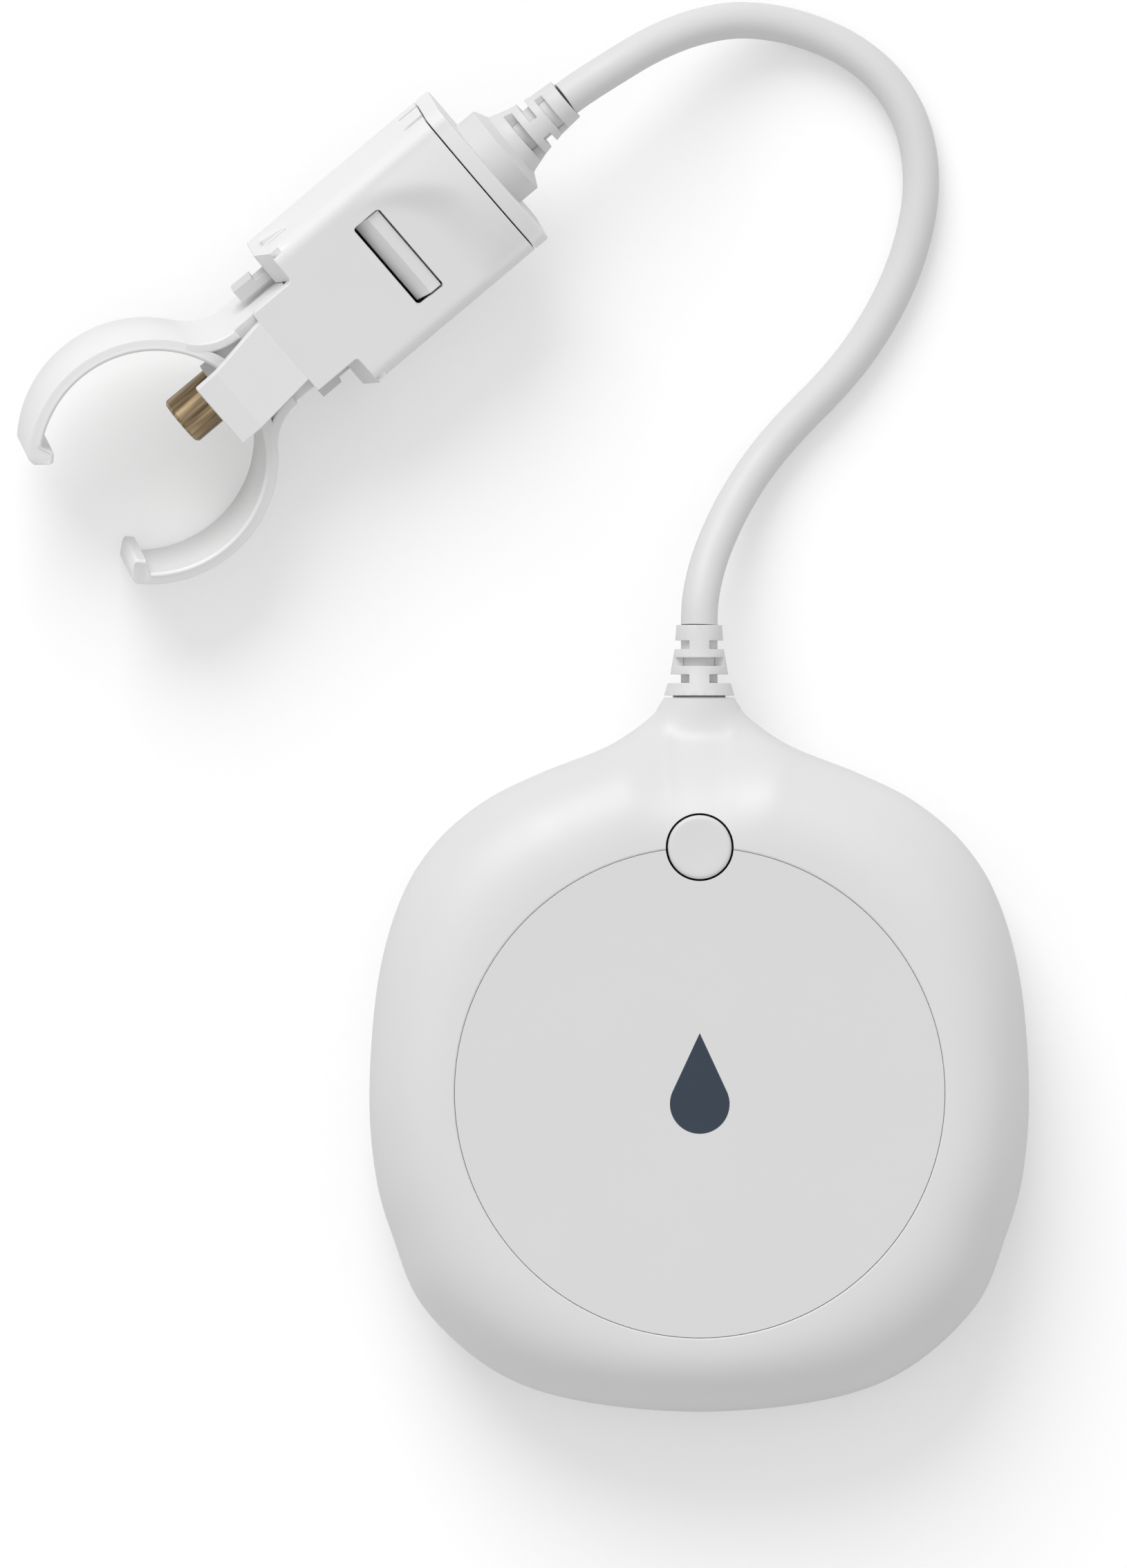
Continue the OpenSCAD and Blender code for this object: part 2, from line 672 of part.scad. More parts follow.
module front_cover() color("#f2f3f4") {
    points = outline(outer_steps);
    inner = cavity_outline();
    difference() {
        union() {
            loft(cover_rings(points, dome_r, 0, part_z, puck_h, outer_angles));
            intersection() {
                neck_rod(neck_r, plug_y, neck_y);
                above_joint();
            }
        }
        difference() {
            loft(concat([ring(inner, cavity_r, 1, part_z - over)],
                cover_rings(inner, cavity_r, 0, part_z, ceiling_z, inner_angles)));
            at_corners(cover_screw_x, cover_screw_y)
                translate([0, 0, part_z - 2 * over]) cylinder(r = boss_r, h = puck_h);
            translate([0, button_y, sleeve_z]) cylinder(r = sleeve_r, h = puck_h);
        }
        neck_cuts();
        translate([0, 0, recess_z]) cylinder(r = recess_r, h = panel_t + over);
        translate([0, button_y, sleeve_z - over]) cylinder(r = button_hole_r, h = puck_h);
        translate([-tray_l / 2, -tray_w / 2, ceiling_z - over])
            cube([tray_l, tray_w, floor_t + 2 * over]);
        at_corners(cover_screw_x, cover_screw_y) translate([0, 0, part_z - over])
            cylinder(r = cover_shank_r + thread_gap, h = cover_shank_l - part_z + head_pocket + 2 * over);
    }
}

module rear_cover() color("#eceded") {
    points = outline(outer_steps);
    inner = cavity_outline();
    difference() {
        union() {
            loft(reversed(cover_rings(points, dome_r, back_share, part_z, 0, outer_angles)));
            difference() {
                neck_rod(neck_r, plug_y, neck_y);
                above_joint();
            }
        }
        difference() {
            loft(reversed(concat([ring(inner, cavity_r, 1, part_z + over)],
                cover_rings(inner, cavity_r, back_share, part_z, back_t, inner_angles))));
            at_corners(cover_screw_x, cover_screw_y) cylinder(r = boss_r, h = puck_h);
            at_corners(board_screw_x, board_screw_y) cylinder(r = post_r, h = puck_h);
            for (side = [-1, 1]) translate([side * clamp_screw_x, clamp_y, 0])
                cylinder(r = clamp_d / 2, h = puck_h);
        }
        neck_cuts();
        at_corners(cover_screw_x, cover_screw_y) {
            translate([0, 0, -over]) cylinder(r = cover_head_r + screw_gap, h = head_pocket + over);
            cylinder(r = cover_shank_r + screw_gap, h = puck_h);
        }
        for (side = [-1, 1]) translate([side * clamp_screw_x, clamp_y, part_z - small_shank_l])
            cylinder(r = small_shank_r + thread_gap, h = puck_h);
        translate([0, 0, -over]) cylinder(r = pad_r + pad_gap, h = pad_t + over);
        board_screw_holes();
    }
    difference() {
        at_corners(board_screw_x, board_screw_y) translate([0, 0, back_t])
            cylinder(r = post_r, h = board_z - back_t);
        board_screw_holes();
    }
}

module board_screw_holes() {
    at_corners(board_screw_x, board_screw_y) translate([0, 0, board_z - small_shank_l])
        cylinder(r = small_shank_r + thread_gap, h = puck_h);
}

module mounting_pad() color("#d5d6d8") {
    cylinder(r = pad_r, h = pad_t);
}

module face_panel() color("#d9dadb") {
    difference() {
        translate([0, 0, recess_z]) cylinder(r = panel_r, h = panel_t);
        translate([0, button_y, 0]) cylinder(r = button_hole_r, h = 2 * puck_h);
    }
    for (sx = [-1, 1], sy = [-1, 1])
        translate([sx * leg_x - leg_w / 2, sy * (tray_w / 2 - panel_gap - leg_t / 2) - leg_t / 2,
            recess_z - leg_l])
            cube([leg_w, leg_t, leg_l]);
}

module button_cap() color("#eff0f1") {
    translate([0, button_y, 0]) {
        translate([0, 0, flange_z]) cylinder(r = button_hole_r + flange_reach, h = flange_t);
        translate([0, 0, flange_z]) cylinder(r = button_r, h = puck_h - button_bevel - flange_z);
        translate([0, 0, puck_h - button_bevel])
            cylinder(r1 = button_r, r2 = button_r - button_bevel, h = button_bevel);
    }
}

module switch_plunger() color("#2b2b2d") {
    low = board_top + switch_h - plunger_in;
    translate([0, button_y, low]) cylinder(r = plunger_r, h = plunger_top - low);
}

module tact_switch() color("#c9cacc") {
    bore_depth = plunger_in + button_travel + press_gap;
    translate([0, button_y, board_top]) difference() {
        translate([-switch_side / 2, -switch_side / 2, 0]) cube([switch_side, switch_side, switch_h]);
        translate([0, 0, switch_h - bore_depth])
            cylinder(r = plunger_r + fit_gap, h = bore_depth + over);
    }
}

module status_led() color("#fbf3c8") {
    translate([-led_x - led_l / 2, button_y - led_w - led_w, board_top]) cube([led_l, led_w, led_h]);
}

module main_board() color("#2f7d4c") {
    board_half = puck_w / 2 - shell_wall - board_side_gap;
    difference() {
        intersection() {
            translate([0, 0, board_z]) cylinder(r = board_r, h = board_t);
            translate([-board_half, -puck_w, 0]) cube([2 * board_half, 2 * puck_w, puck_h]);
        }
        translate([-tray_l / 2 - tray_wall - board_gap, -tray_w / 2 - tray_wall - board_gap, board_z - over])
            cube([tray_l + 2 * (tray_wall + board_gap), tray_w + 2 * (tray_wall + board_gap),
                board_t + 2 * over]);
        at_corners(cover_screw_x, cover_screw_y) cylinder(r = boss_r + screw_gap, h = puck_h);
        at_corners(board_screw_x, board_screw_y) cylinder(r = small_shank_r + screw_gap, h = puck_h);
    }
}

module radio_module() color("#1f5f8a") {
    translate([-radio_l / 2, -radio_y - radio_w / 2, board_top]) cube([radio_l, radio_w, radio_t]);
}

module radio_shield() color("#b9bcc0") {
    inner = shield_side - 2 * shield_wall;
    translate([0, -radio_y, board_top + radio_t]) difference() {
        translate([-shield_side / 2, -shield_side / 2, 0]) cube([shield_side, shield_side, shield_h]);
        translate([-inner / 2, -inner / 2, -over]) cube([inner, inner, shield_h - shield_wall + over]);
    }
}

module battery_tray() color("#3a3b3e") {
    outer_l = tray_l + 2 * tray_wall;
    outer_w = tray_w + 2 * tray_wall;
    difference() {
        union() {
            translate([-outer_l / 2, -outer_w / 2, tray_floor_z - tray_wall])
                cube([outer_l, outer_w, ceiling_z - tray_floor_z + tray_wall]);
            intersection() {
                translate([-outer_l / 2 - tray_flange, -outer_w / 2 - tray_flange,
                    ceiling_z - tray_flange_t])
                    cube([outer_l + 2 * tray_flange, outer_w + 2 * tray_flange, tray_flange_t]);
                cylinder(r = cavity_r - screw_gap, h = puck_h);
            }
        }
        translate([-tray_l / 2, -tray_w / 2, tray_floor_z]) cube([tray_l, tray_w, puck_h]);
    }
}

// One cell along +X, its flat end at x = 0
module cell() {
    rotate([0, 90, 0]) {
        cylinder(r = cell_r, h = cell_l);
        cylinder(r = pole_r, h = cell_l + pole_l);
    }
}

module battery_cells() color("#31538c") {
    for (side = [-1, 1]) translate([side * (tray_l / 2 - contact_t - bat_spring_l), side * -cell_y, cell_z])
        rotate([0, 0, side > 0 ? 180 : 0]) cell();
}

// Coned contact spring on its plate: closed turns that narrow towards the cell
module contact_spring_unit() {
    translate([0, -contact_w / 2, -contact_h / 2]) cube([contact_t, contact_w, contact_h]);
    step = (bat_spring_l - 2 * bat_wire_r) / bat_spring_turns;
    translate([contact_t, 0, 0]) rotate([0, 90, 0]) for (i = [0:bat_spring_turns])
        translate([0, 0, bat_wire_r - press_gap + i * step]) rotate_extrude($fn = 36)
            translate([mix(bat_spring_r, bat_spring_tip_r, i / bat_spring_turns), 0])
                circle(r = bat_wire_r, $fn = 16);
}

module contact_springs() color("#c3c5c8") {
    for (side = [-1, 1]) translate([side * tray_l / 2, side * -cell_y, cell_z])
        rotate([0, 0, side > 0 ? 180 : 0]) contact_spring_unit();
}

module contact_plates() color("#c3c5c8") {
    for (side = [-1, 1]) translate([side * (tray_l / 2 - contact_t), side * cell_y, cell_z])
        translate([side > 0 ? 0 : -contact_t, -contact_w / 2, -contact_h / 2])
            cube([contact_t, contact_w, contact_h]);
}

module cover_screws() color("#8f9296") {
    at_corners(cover_screw_x, cover_screw_y) translate([0, 0, head_pocket])
        screw(cover_shank_r, cover_shank_l, cover_head_r, cover_head_h);
}

module board_screws() color("#8f9296") {
    at_corners(board_screw_x, board_screw_y) translate([0, 0, board_top]) mirror([0, 0, 1])
        screw(small_shank_r, small_shank_l, small_head_r, small_head_h);
}

module lead_socket() color("#efe9da") {
    translate([socket_x - socket_l / 2, socket_y - socket_d, board_z - socket_h])
        difference() {
            cube([socket_l, socket_d, socket_h]);
            translate([lead_t, socket_d / 2, lead_t])
                cube([socket_l - 2 * lead_t, socket_d, socket_h - 2 * lead_t]);
        }
}

module lead_plug() color("#f6f3ea") {
    translate([socket_x - socket_l / 2 + lead_t + fit_gap, socket_y - socket_d / 2 + fit_gap,
        board_z - socket_h + lead_t + fit_gap])
        cube([socket_l - 2 * (lead_t + fit_gap), plug_d, socket_h - 2 * (lead_t + fit_gap)]);
}

// Flat four-way lead from the sheath's end to the plug
module puck_leads() color("#b03a34") {
    plug_end = socket_y - socket_d / 2 + fit_gap + plug_d;
    translate([0, 0, part_z - lead_t / 2]) linear_extrude(lead_t)
        polygon([[-lead_w / 2, sheath_y], [-lead_w / 2, sheath_y - lead_w / 2],
            [socket_x - lead_w / 2, plug_end], [socket_x + lead_w / 2, plug_end],
            [socket_x + lead_w / 2, plug_end + lead_t], [lead_w / 2, sheath_y]]);
}

module cable_clamp() color("#d3d5d7") {
    reach = clamp_screw_x + clamp_d / 2;
    translate([0, clamp_y - clamp_d / 2, part_z]) difference() {
        union() {
            translate([-reach, 0, 0]) cube([2 * reach, clamp_d, clamp_t]);
            rotate([-90, 0, 0]) cylinder(r = cable_r + cable_gap + clamp_t, h = clamp_d);
        }
        translate([-reach - over, -over, -puck_h]) cube([2 * (reach + over), clamp_d + 2 * over, puck_h]);
        translate([0, -over, 0]) rotate([-90, 0, 0])
            cylinder(r = cable_r + cable_gap, h = clamp_d + 2 * over);
        for (side = [-1, 1]) translate([side * clamp_screw_x, clamp_d / 2, -over])
            cylinder(r = small_shank_r + fit_gap, h = puck_h);
    }
}

module clamp_screws() color("#8f9296") {
    for (side = [-1, 1]) translate([side * clamp_screw_x, clamp_y, part_z + clamp_t])
        mirror([0, 0, 1]) screw(small_shank_r, small_shank_l, clamp_d / 2, small_head_h);
}

// Tapered part of a strain relief along +Z from z = 0: two pairs of notches in the
// sides that face X, and one pair between them in the sides that face Y
module relief_taper() {
    difference() {
        rotate_extrude() polygon([[cable_r + cable_gap, 0], [relief_base_r, 0],
            [relief_mid_r, notch_start + notch_l], [relief_waist_r, notch_start + 2 * notch_step],
            [relief_tip_r, relief_l], [cable_r + cable_gap, relief_l]]);
        for (i = [0, 1, 2], side = [-1, 1]) rotate([0, 0, i == 1 ? 90 : 0])
            translate([side > 0 ? web_half : -web_half - relief_base_r, -relief_base_r,
                notch_start + i * notch_step])
                cube([relief_base_r, 2 * relief_base_r, notch_l]);
    }
}

module puck_strain_relief() color("#dcdddf") {
    translate([0, neck_y + relief_gap, part_z]) rotate([-90, 0, 0]) relief_taper();
    difference() {
        union() {
            neck_rod(throat_r, anchor_end_y - anchor_gap, neck_y + relief_gap + over);
            neck_rod(anchor_r, anchor_end_y - anchor_gap - anchor_t, anchor_end_y - anchor_gap);
        }
        neck_rod(cable_r + cable_gap, 0, 2 * neck_y);
    }
}

module puck_cable_end() color("#e3e4e5") {
    neck_rod(cable_r, sheath_y, puck_tip_y);
}

// Moves the head's pieces to their place. In the head's own frame +X runs along its
// axis towards the pipe, from the seam between cap and housing, and +Z is its top.
module place_head() {
    translate([head_x, head_y, head_z]) rotate([-head_roll, head_pitch, head_turn]) children();
}

function turn_x(p, a) = [p[0], p[1] * cos(a) - p[2] * sin(a), p[1] * sin(a) + p[2] * cos(a)];
function turn_y(p, a) = [p[0] * cos(a) + p[2] * sin(a), p[1], p[2] * cos(a) - p[0] * sin(a)];
function turn_z(p, a) = [p[0] * cos(a) - p[1] * sin(a), p[0] * sin(a) + p[1] * cos(a), p[2]];
function head_turned(p) = turn_z(turn_y(turn_x(p, -head_roll), head_pitch), head_turn);
function head_point(p) = [head_x, head_y, head_z] + head_turned(p);

// The cable's whole middle line, with one more point past each end for the curve
function cable_marks() = concat(
    [[0, puck_tip_y - relief_l, part_z], [0, puck_tip_y, part_z]], cable_route,
    [head_point([-head_tip_u, 0, 0]), head_point([relief_l - head_tip_u, 0, 0])]);
function cable_line() = concat(spline(cable_marks(), cable_steps), [head_point([-head_tip_u, 0, 0])]);

// One ring of the cable round a point of its middle line, square to its way
function cable_ring(p, along) = let (side = cross_up(along), up = cross(along, side))
    [for (i = [0:cable_sides - 1]) let (a = 360 * i / cable_sides)
        p + cable_r * (cos(a) * side - sin(a) * up)];

module sensor_cable() color("#e3e4e5") {
    line = cable_line();
    last = len(line) - 1;
    start_way = [0, 1, 0];
    end_way = head_turned([1, 0, 0]);
    loft([for (i = [0:last]) cable_ring(line[i],
        i == 0 ? start_way : i == last ? end_way : unit(line[i + 1] - line[i - 1]))]);
}

module head_strain_relief() color("#dcdddf") place_head() {
    rotate([0, -90, 0]) {
        translate([0, 0, head_relief_u]) relief_taper();
        rotate_extrude() polygon([[cable_r + cable_gap, seam + cap_t], [collar_r, seam + cap_t],
            [collar_r, collar_end_u], [relief_base_r, head_relief_u], [relief_base_r, head_relief_u + over / 2],
            [cable_r + cable_gap, head_relief_u + over / 2]]);
        rotate_extrude() polygon([[cable_r + cable_gap, -flange_in_t], [throat_r + flange_in_reach, -flange_in_t],
            [throat_r + flange_in_reach, 0], [throat_r, 0], [throat_r, seam + cap_t + over],
            [cable_r + cable_gap, seam + cap_t + over]]);
    }
}

module head_cable_end() color("#e3e4e5") place_head() {
    translate([-head_tip_u, 0, 0]) rotate([0, 90, 0]) cylinder(r = cable_r, h = head_tip_u + head_sheath_u);
}

// Bar along +X from x0 to x1 with rounded long edges
module bar(x0, x1, w, h, r) {
    translate([x0, 0, 0]) rotate([90, 0, 90]) linear_extrude(x1 - x0) {
        square([w - 2 * r, h], center = true);
        square([w, h - 2 * r], center = true);
        for (sx = [-1, 1], sy = [-1, 1]) translate([sx * (w / 2 - r), sy * (h / 2 - r)]) circle(r = r);
    }
}

// The arched top near the seam. It slopes down into the flat top.
module crown(x0, x1, slope) {
    flat_half = head_half_w - head_edge_r;
    intersection() {
        translate([x0, -flat_half, 0]) cube([x1 - x0, 2 * flat_half, 2 * head_half_h]);
        translate([0, 0, head_half_h + crown_h]) rotate([0, slope, 0]) translate([0, 0, -crown_r])
            rotate([0, 90, 0]) translate([0, 0, -head_w]) cylinder(r = crown_r, h = 2 * head_w, $fn = 180);
    }
}

module head_cap() color("#f0f1f2") place_head() {
    difference() {
        union() {
            bar(-seam - cap_t, -seam, head_w, head_h, head_edge_r);
            crown(-seam - cap_t, -seam, 0);
        }
        rotate([0, -90, 0]) translate([0, 0, -over]) cylinder(r = throat_r + anchor_gap, h = cap_t + 2 * over);
    }
}

// Wedge that rises towards the pipe, on the side wall that faces +Y
module side_wedge() {
    translate([head_l - wedge_l, head_half_w, 0]) translate([0, 0, -wedge_half]) linear_extrude(2 * wedge_half)
        polygon([[0, -over], [wedge_l, -over], [wedge_l, wedge_h], [0, 0]]);
}

module nose() {
    start = head_l + tongue_l;
    rise = nose_crease_h / (nose_crease_u - start);
    translate([0, nose_w / 2, head_half_h]) rotate([90, 0, 0]) linear_extrude(nose_w)
        polygon([[start - over, 0], [start, 0], [nose_crease_u, nose_crease_h], [nose_u, nose_h],
            [nose_u, nose_h - nose_t], [nose_crease_u, nose_crease_h - nose_t],
            [start, -nose_t], [start - over, -nose_t]]);
}

module head_housing() color("#f0f1f2") place_head() {
    difference() {
        union() {
            bar(0, head_l, head_w, head_h, head_edge_r);
            intersection() {
                bar(head_l - over, head_l + ledge_l, head_w, head_h, head_edge_r);
                translate([0, -head_w, ledge_top - head_h]) cube([2 * head_l, 2 * head_w, head_h]);
            }
            crown(0, window_u - window_r, crown_slope);
            translate([head_l - over, -tongue_w / 2, head_half_h - tongue_t])
                cube([tongue_l + over, tongue_w, tongue_t]);
            nose();
            side_wedge();
            mirror([0, 1, 0]) side_wedge();
        }
        translate([-over, -inner_half_w, -inner_half_h])
            cube([head_l + ledge_l + 2 * over, 2 * inner_half_w, inner_half_h * 2]);
        translate([head_l, -stem_half - carrier_gap, -head_h])
            cube([head_l, 2 * (stem_half + carrier_gap), head_h]);
        window();
        side_grooves();
    }
}

// Opening for the latch in the housing's top
module window() {
    translate([window_u, -window_w / 2, inner_half_h - over]) linear_extrude(2 * head_wall + over) {
        translate([window_r, 0]) square([window_l - 2 * window_r, window_w]);
        translate([0, window_r]) square([window_l, window_w - 2 * window_r]);
        for (x = [window_r, window_l - window_r], y = [window_r, window_w - window_r])
            translate([x, y]) circle(r = window_r, $fn = 24);
    }
}

module side_grooves() {
    for (groove = [[groove_w, groove_r], [-slit_w, slit_r]])
        translate([-over, -head_half_w - over, groove[0]]) rotate([-90, 0, 0]) linear_extrude(over + groove_depth) {
            translate([0, -groove[1]]) square([groove_l - groove[1] + over, 2 * groove[1]]);
            translate([groove_l - groove[1] + over, 0]) circle(r = groove[1], $fn = 24);
        }
}

module sensor_carrier() color("#cfd1d4") place_head() {
    half_w = inner_half_w - carrier_gap;
    floor_w = -inner_half_h + carrier_gap;
    difference() {
        union() {
            translate([carrier_u, -half_w, floor_w]) cube([carrier_end_u - carrier_u, 2 * half_w, carrier_t]);
            translate([bulkhead_u, -half_w, floor_w]) cube([bulkhead_t, 2 * half_w, bulkhead_top - floor_w]);
            translate([bulkhead_u, 0, 0]) rotate([0, 90, 0]) cylinder(r = snout_r, h = snout_u - bulkhead_u);
            for (side = [-1, 1]) {
                carrier_cheek(side, half_w, floor_w);
                snap_finger(side);
                board_rib(side, floor_w + carrier_t);
            }
        }
        translate([bulkhead_u + bulkhead_t, 0, 0]) rotate([0, 90, 0])
            cylinder(r = contact_r + fit_gap, h = snout_u);
        translate([latch_u, head_w / 2, latch_w]) rotate([90, 0, 0])
            cylinder(r = latch_pin_r + fit_gap, h = head_w);
    }
}

// Upright wall that holds one end of the latch's pin
module carrier_cheek(side, half_w, floor_w) {
    translate([carrier_u, side > 0 ? half_w - cheek_t : -half_w, floor_w])
        cube([cheek_l, cheek_t, inner_half_h - carrier_gap - floor_w]);
}

// Finger from the bulkhead past the housing's front, with a hook on the pipe clip
module snap_finger(side) {
    start = bulkhead_u + bulkhead_t - over;
    translate([start, side * finger_v - finger_t / 2, -finger_half])
        cube([hook_u - start, finger_t, 2 * finger_half]);
    translate([hook_u - hook_l, side * (finger_v + hook_t / 2 - finger_t / 2) - hook_t / 2, -finger_half])
        cube([hook_l, hook_t, 2 * finger_half]);
}

// Low rib that carries one edge of the head board
module board_rib(side, z) {
    translate([carrier_u + cheek_l / 4, side * (head_board_w / 2 - cheek_t) - cheek_t / 2, z - over])
        cube([head_board_l, cheek_t, head_rib_h + over]);
}

module head_board() color("#2f7d4c") place_head() {
    z = -inner_half_h + carrier_gap + carrier_t + head_rib_h;
    translate([carrier_u + cheek_l / 4, -head_board_w / 2, z]) cube([head_board_l, head_board_w, head_board_t]);
}

module head_leads() color("#b03a34") place_head() {
    low = -inner_half_h + carrier_gap + carrier_t + head_rib_h + head_board_t;
    translate([head_sheath_u, -lead_w / 2, 0]) rotate([-90, 0, 0]) linear_extrude(lead_w)
        polygon([[0, -lead_t / 2], [lead_t, -lead_t / 2], [head_lead_l + lead_t, -low],
            [head_lead_l, -low], [0, lead_t / 2]]);
}

// Rocking latch: its tab stands in the housing's window, on an arm with a knuckle
module release_latch() color("#dfe0e2") place_head() {
    tab_half = window_w / 2 - tab_gap;
    tab_top = head_half_h - tab_sink;
    tab_u = window_u + tab_gap;
    tab_end = window_u + window_l - tab_gap;
    arm_top = latch_w + latch_t / 2;
    arm_low = latch_w - latch_t / 2;
    difference() {
        union() {
            translate([0, tab_half, 0]) rotate([90, 0, 0]) linear_extrude(2 * tab_half)
                polygon([[latch_u, arm_low], [latch_u, arm_top], [tab_u, arm_top], [tab_u, tab_top],
                    [tab_u + tab_flat, tab_top], [tab_end, tab_top - tab_drop], [tab_end, arm_low]]);
            translate([latch_u, tab_half, latch_w]) rotate([90, 0, 0]) cylinder(r = knuckle_r, h = 2 * tab_half);
        }
        translate([latch_u, head_w / 2, latch_w]) rotate([90, 0, 0])
            cylinder(r = latch_pin_r + fit_gap, h = head_w);
    }
}

module latch_pin() color("#a9acb0") place_head() {
    half = inner_half_w - carrier_gap;
    translate([latch_u, half, latch_w]) rotate([90, 0, 0]) cylinder(r = latch_pin_r, h = 2 * half);
}

module brass_contact() color("#9a7d4e") place_head() {
    rotate([0, 90, 0]) rotate_extrude() polygon([
        [contact_bore_r, contact_back_u], [contact_r, contact_back_u],
        [contact_r, contact_u - contact_edge], [contact_r - contact_edge, contact_u],
        [0, contact_u], [0, contact_u - contact_face_t], [contact_bore_r, contact_u - contact_face_t]]);
}

// The coil behind the contact, drawn as closed turns joined by a thin inner sleeve
module contact_spring() color("#b4b7bb") place_head() {
    start = bulkhead_u + bulkhead_t + spring_wire_r;
    step = (contact_back_u - spring_wire_r - start) / spring_turns;
    rotate([0, 90, 0]) {
        for (i = [0:spring_turns]) translate([0, 0, start + i * step])
            rotate_extrude($fn = 36) translate([spring_r, 0]) circle(r = spring_wire_r, $fn = 16);
        rotate_extrude($fn = 36) translate([spring_r - spring_wire_r / 2, start])
            square([spring_wire_r / 2, spring_turns * step]);
    }
}

module heat_sensor() color("#2f2f31") place_head() {
    tip = contact_u - contact_face_t;
    rotate([0, 90, 0]) {
        translate([0, 0, tip - sensor_l]) cylinder(r = sensor_r, h = sensor_l);
        translate([0, 0, contact_back_u]) cylinder(r = sheath_r, h = tip - contact_back_u - sensor_l / 2);
    }
}

// Section of the clip's wall with its bevels
ring_section = [[ring_r, -ring_half], [ring_out_r - ring_bevel, -ring_half],
    [ring_out_r, -ring_half + ring_bevel], [ring_out_r, ring_half - ring_bevel],
    [ring_out_r - ring_bevel, ring_half], [ring_r + ring_bevel, ring_half],
    [ring_r, ring_half - ring_bevel]];

// Part of the clip's ring, from one angle to the next, both from the mouth's middle
module ring_part(from, to) {
    rotate([0, 0, from]) rotate_extrude(angle = to - from, $fn = 144) polygon(ring_section);
}

module at_hinge() {
    rotate([0, 0, hinge_angle]) translate([ring_mid_r, 0, 0]) children();
}

// Wedge from one angle to the next, both from the mouth's middle
module wedge(from, to) {
    reach = 2 * ring_out_r;
    middle = (from + to) / 2;
    polygon([[0, 0], reach * [cos(from), sin(from)], reach * [cos(middle), sin(middle)],
        reach * [cos(to), sin(to)]]);
}

// One arm seen from the top, on the side that faces +Y, with its knuckle and its lip
module arm_shape() {
    lip_end = mouth_angle + lip_angle;
    lip_half = (ring_out_r - lip_r) / 2;
    difference() {
        wedge(mouth_angle, hinge_angle);
        circle(r = ring_r, $fn = 144);
    }
    difference() {
        wedge(mouth_angle, lip_end);
        circle(r = lip_r, $fn = 144);
    }
    rotate(lip_end) translate([lip_r + lip_half, 0]) circle(r = lip_half - ring_bevel, $fn = 48);
    rotate(hinge_angle) translate([ring_mid_r, 0]) circle(r = ring_wall / 2 - hinge_gap, $fn = 48);
}

// One arm, cut to the clip's outside with its bevels
module clip_arm() {
    intersection() {
        translate([0, 0, -ring_half]) linear_extrude(ring_d) arm_shape();
        rotate_extrude($fn = 144) polygon([[0, -ring_half - over],
            [ring_out_r - ring_bevel - over, -ring_half - over],
            [ring_out_r, -ring_half + ring_bevel], [ring_out_r, ring_half - ring_bevel],
            [ring_out_r - ring_bevel - over, ring_half + over], [0, ring_half + over]]);
    }
}

module lower_arm() color("#f0f1f2") place_head() translate([ring_u, 0, 0]) clip_arm();

module upper_arm() color("#f0f1f2") place_head() translate([ring_u, 0, 0]) mirror([0, 1, 0]) clip_arm();

// Middle of a fillet that touches the stem's side and the ring's outside
fillet_v = stem_half + stem_fillet;
// Angle of each arm's hinge, from the mouth's middle
hinge_angle = 180 - asin(fillet_v / (ring_out_r + stem_fillet)) - hinge_past;
fillet_u = ring_u - sqrt(pow(ring_out_r + stem_fillet, 2) - pow(fillet_v, 2));

// Stem and its flare into the ring, seen from the top
module stem_shape() {
    touch_v = fillet_v * ring_out_r / (ring_out_r + stem_fillet);
    touch_u = ring_u - sqrt(pow(ring_out_r, 2) - pow(touch_v, 2));
    difference() {
        union() {
            translate([stem_u, -stem_half]) square([ring_u - ring_mid_r - stem_u, 2 * stem_half]);
            translate([fillet_u, -touch_v]) square([touch_u - fillet_u, 2 * touch_v]);
        }
        for (side = [-1, 1]) translate([fillet_u, side * fillet_v]) circle(r = stem_fillet, $fn = 96);
        translate([ring_u, 0]) circle(r = ring_mid_r, $fn = 144);
    }
}

module clip_base() color("#f0f1f2") place_head() {
    difference() {
        union() {
            translate([0, 0, -ring_half]) linear_extrude(stem_top + ring_half) stem_shape();
            translate([0, 0, stem_top]) linear_extrude(ring_half - stem_top) intersection() {
                stem_shape();
                for (side = [-1, 1]) translate([fillet_u, side * fillet_v])
                    circle(r = stem_fillet + ring_wall, $fn = 96);
                translate([fillet_u, -ring_u]) square(2 * ring_u);
            }
            translate([ring_u, 0, 0]) ring_part(hinge_angle, 2 * 180 - hinge_angle);
        }
        rotate([0, 90, 0]) cylinder(r = snout_r + stem_gap, h = ring_u);
        for (flip = [0, 1]) mirror([0, flip, 0]) translate([ring_u, 0, 0]) at_hinge()
            translate([0, 0, -ring_half - over]) cylinder(r = ring_wall / 2 + hinge_gap, h = ring_d + 2 * over);
    }
}

front_cover();
rear_cover();
face_panel();
button_cap();
switch_plunger();
tact_switch();
status_led();
main_board();
radio_module();
radio_shield();
battery_tray();
battery_cells();
contact_springs();
contact_plates();
mounting_pad();
cover_screws();
board_screws();
lead_socket();
lead_plug();
puck_leads();
cable_clamp();
clamp_screws();
puck_strain_relief();
puck_cable_end();
sensor_cable();
head_strain_relief();
head_cable_end();
head_cap();
head_housing();
sensor_carrier();
release_latch();
latch_pin();
brass_contact();
contact_spring();
heat_sensor();
head_board();
head_leads();
clip_base();
upper_arm();
lower_arm();
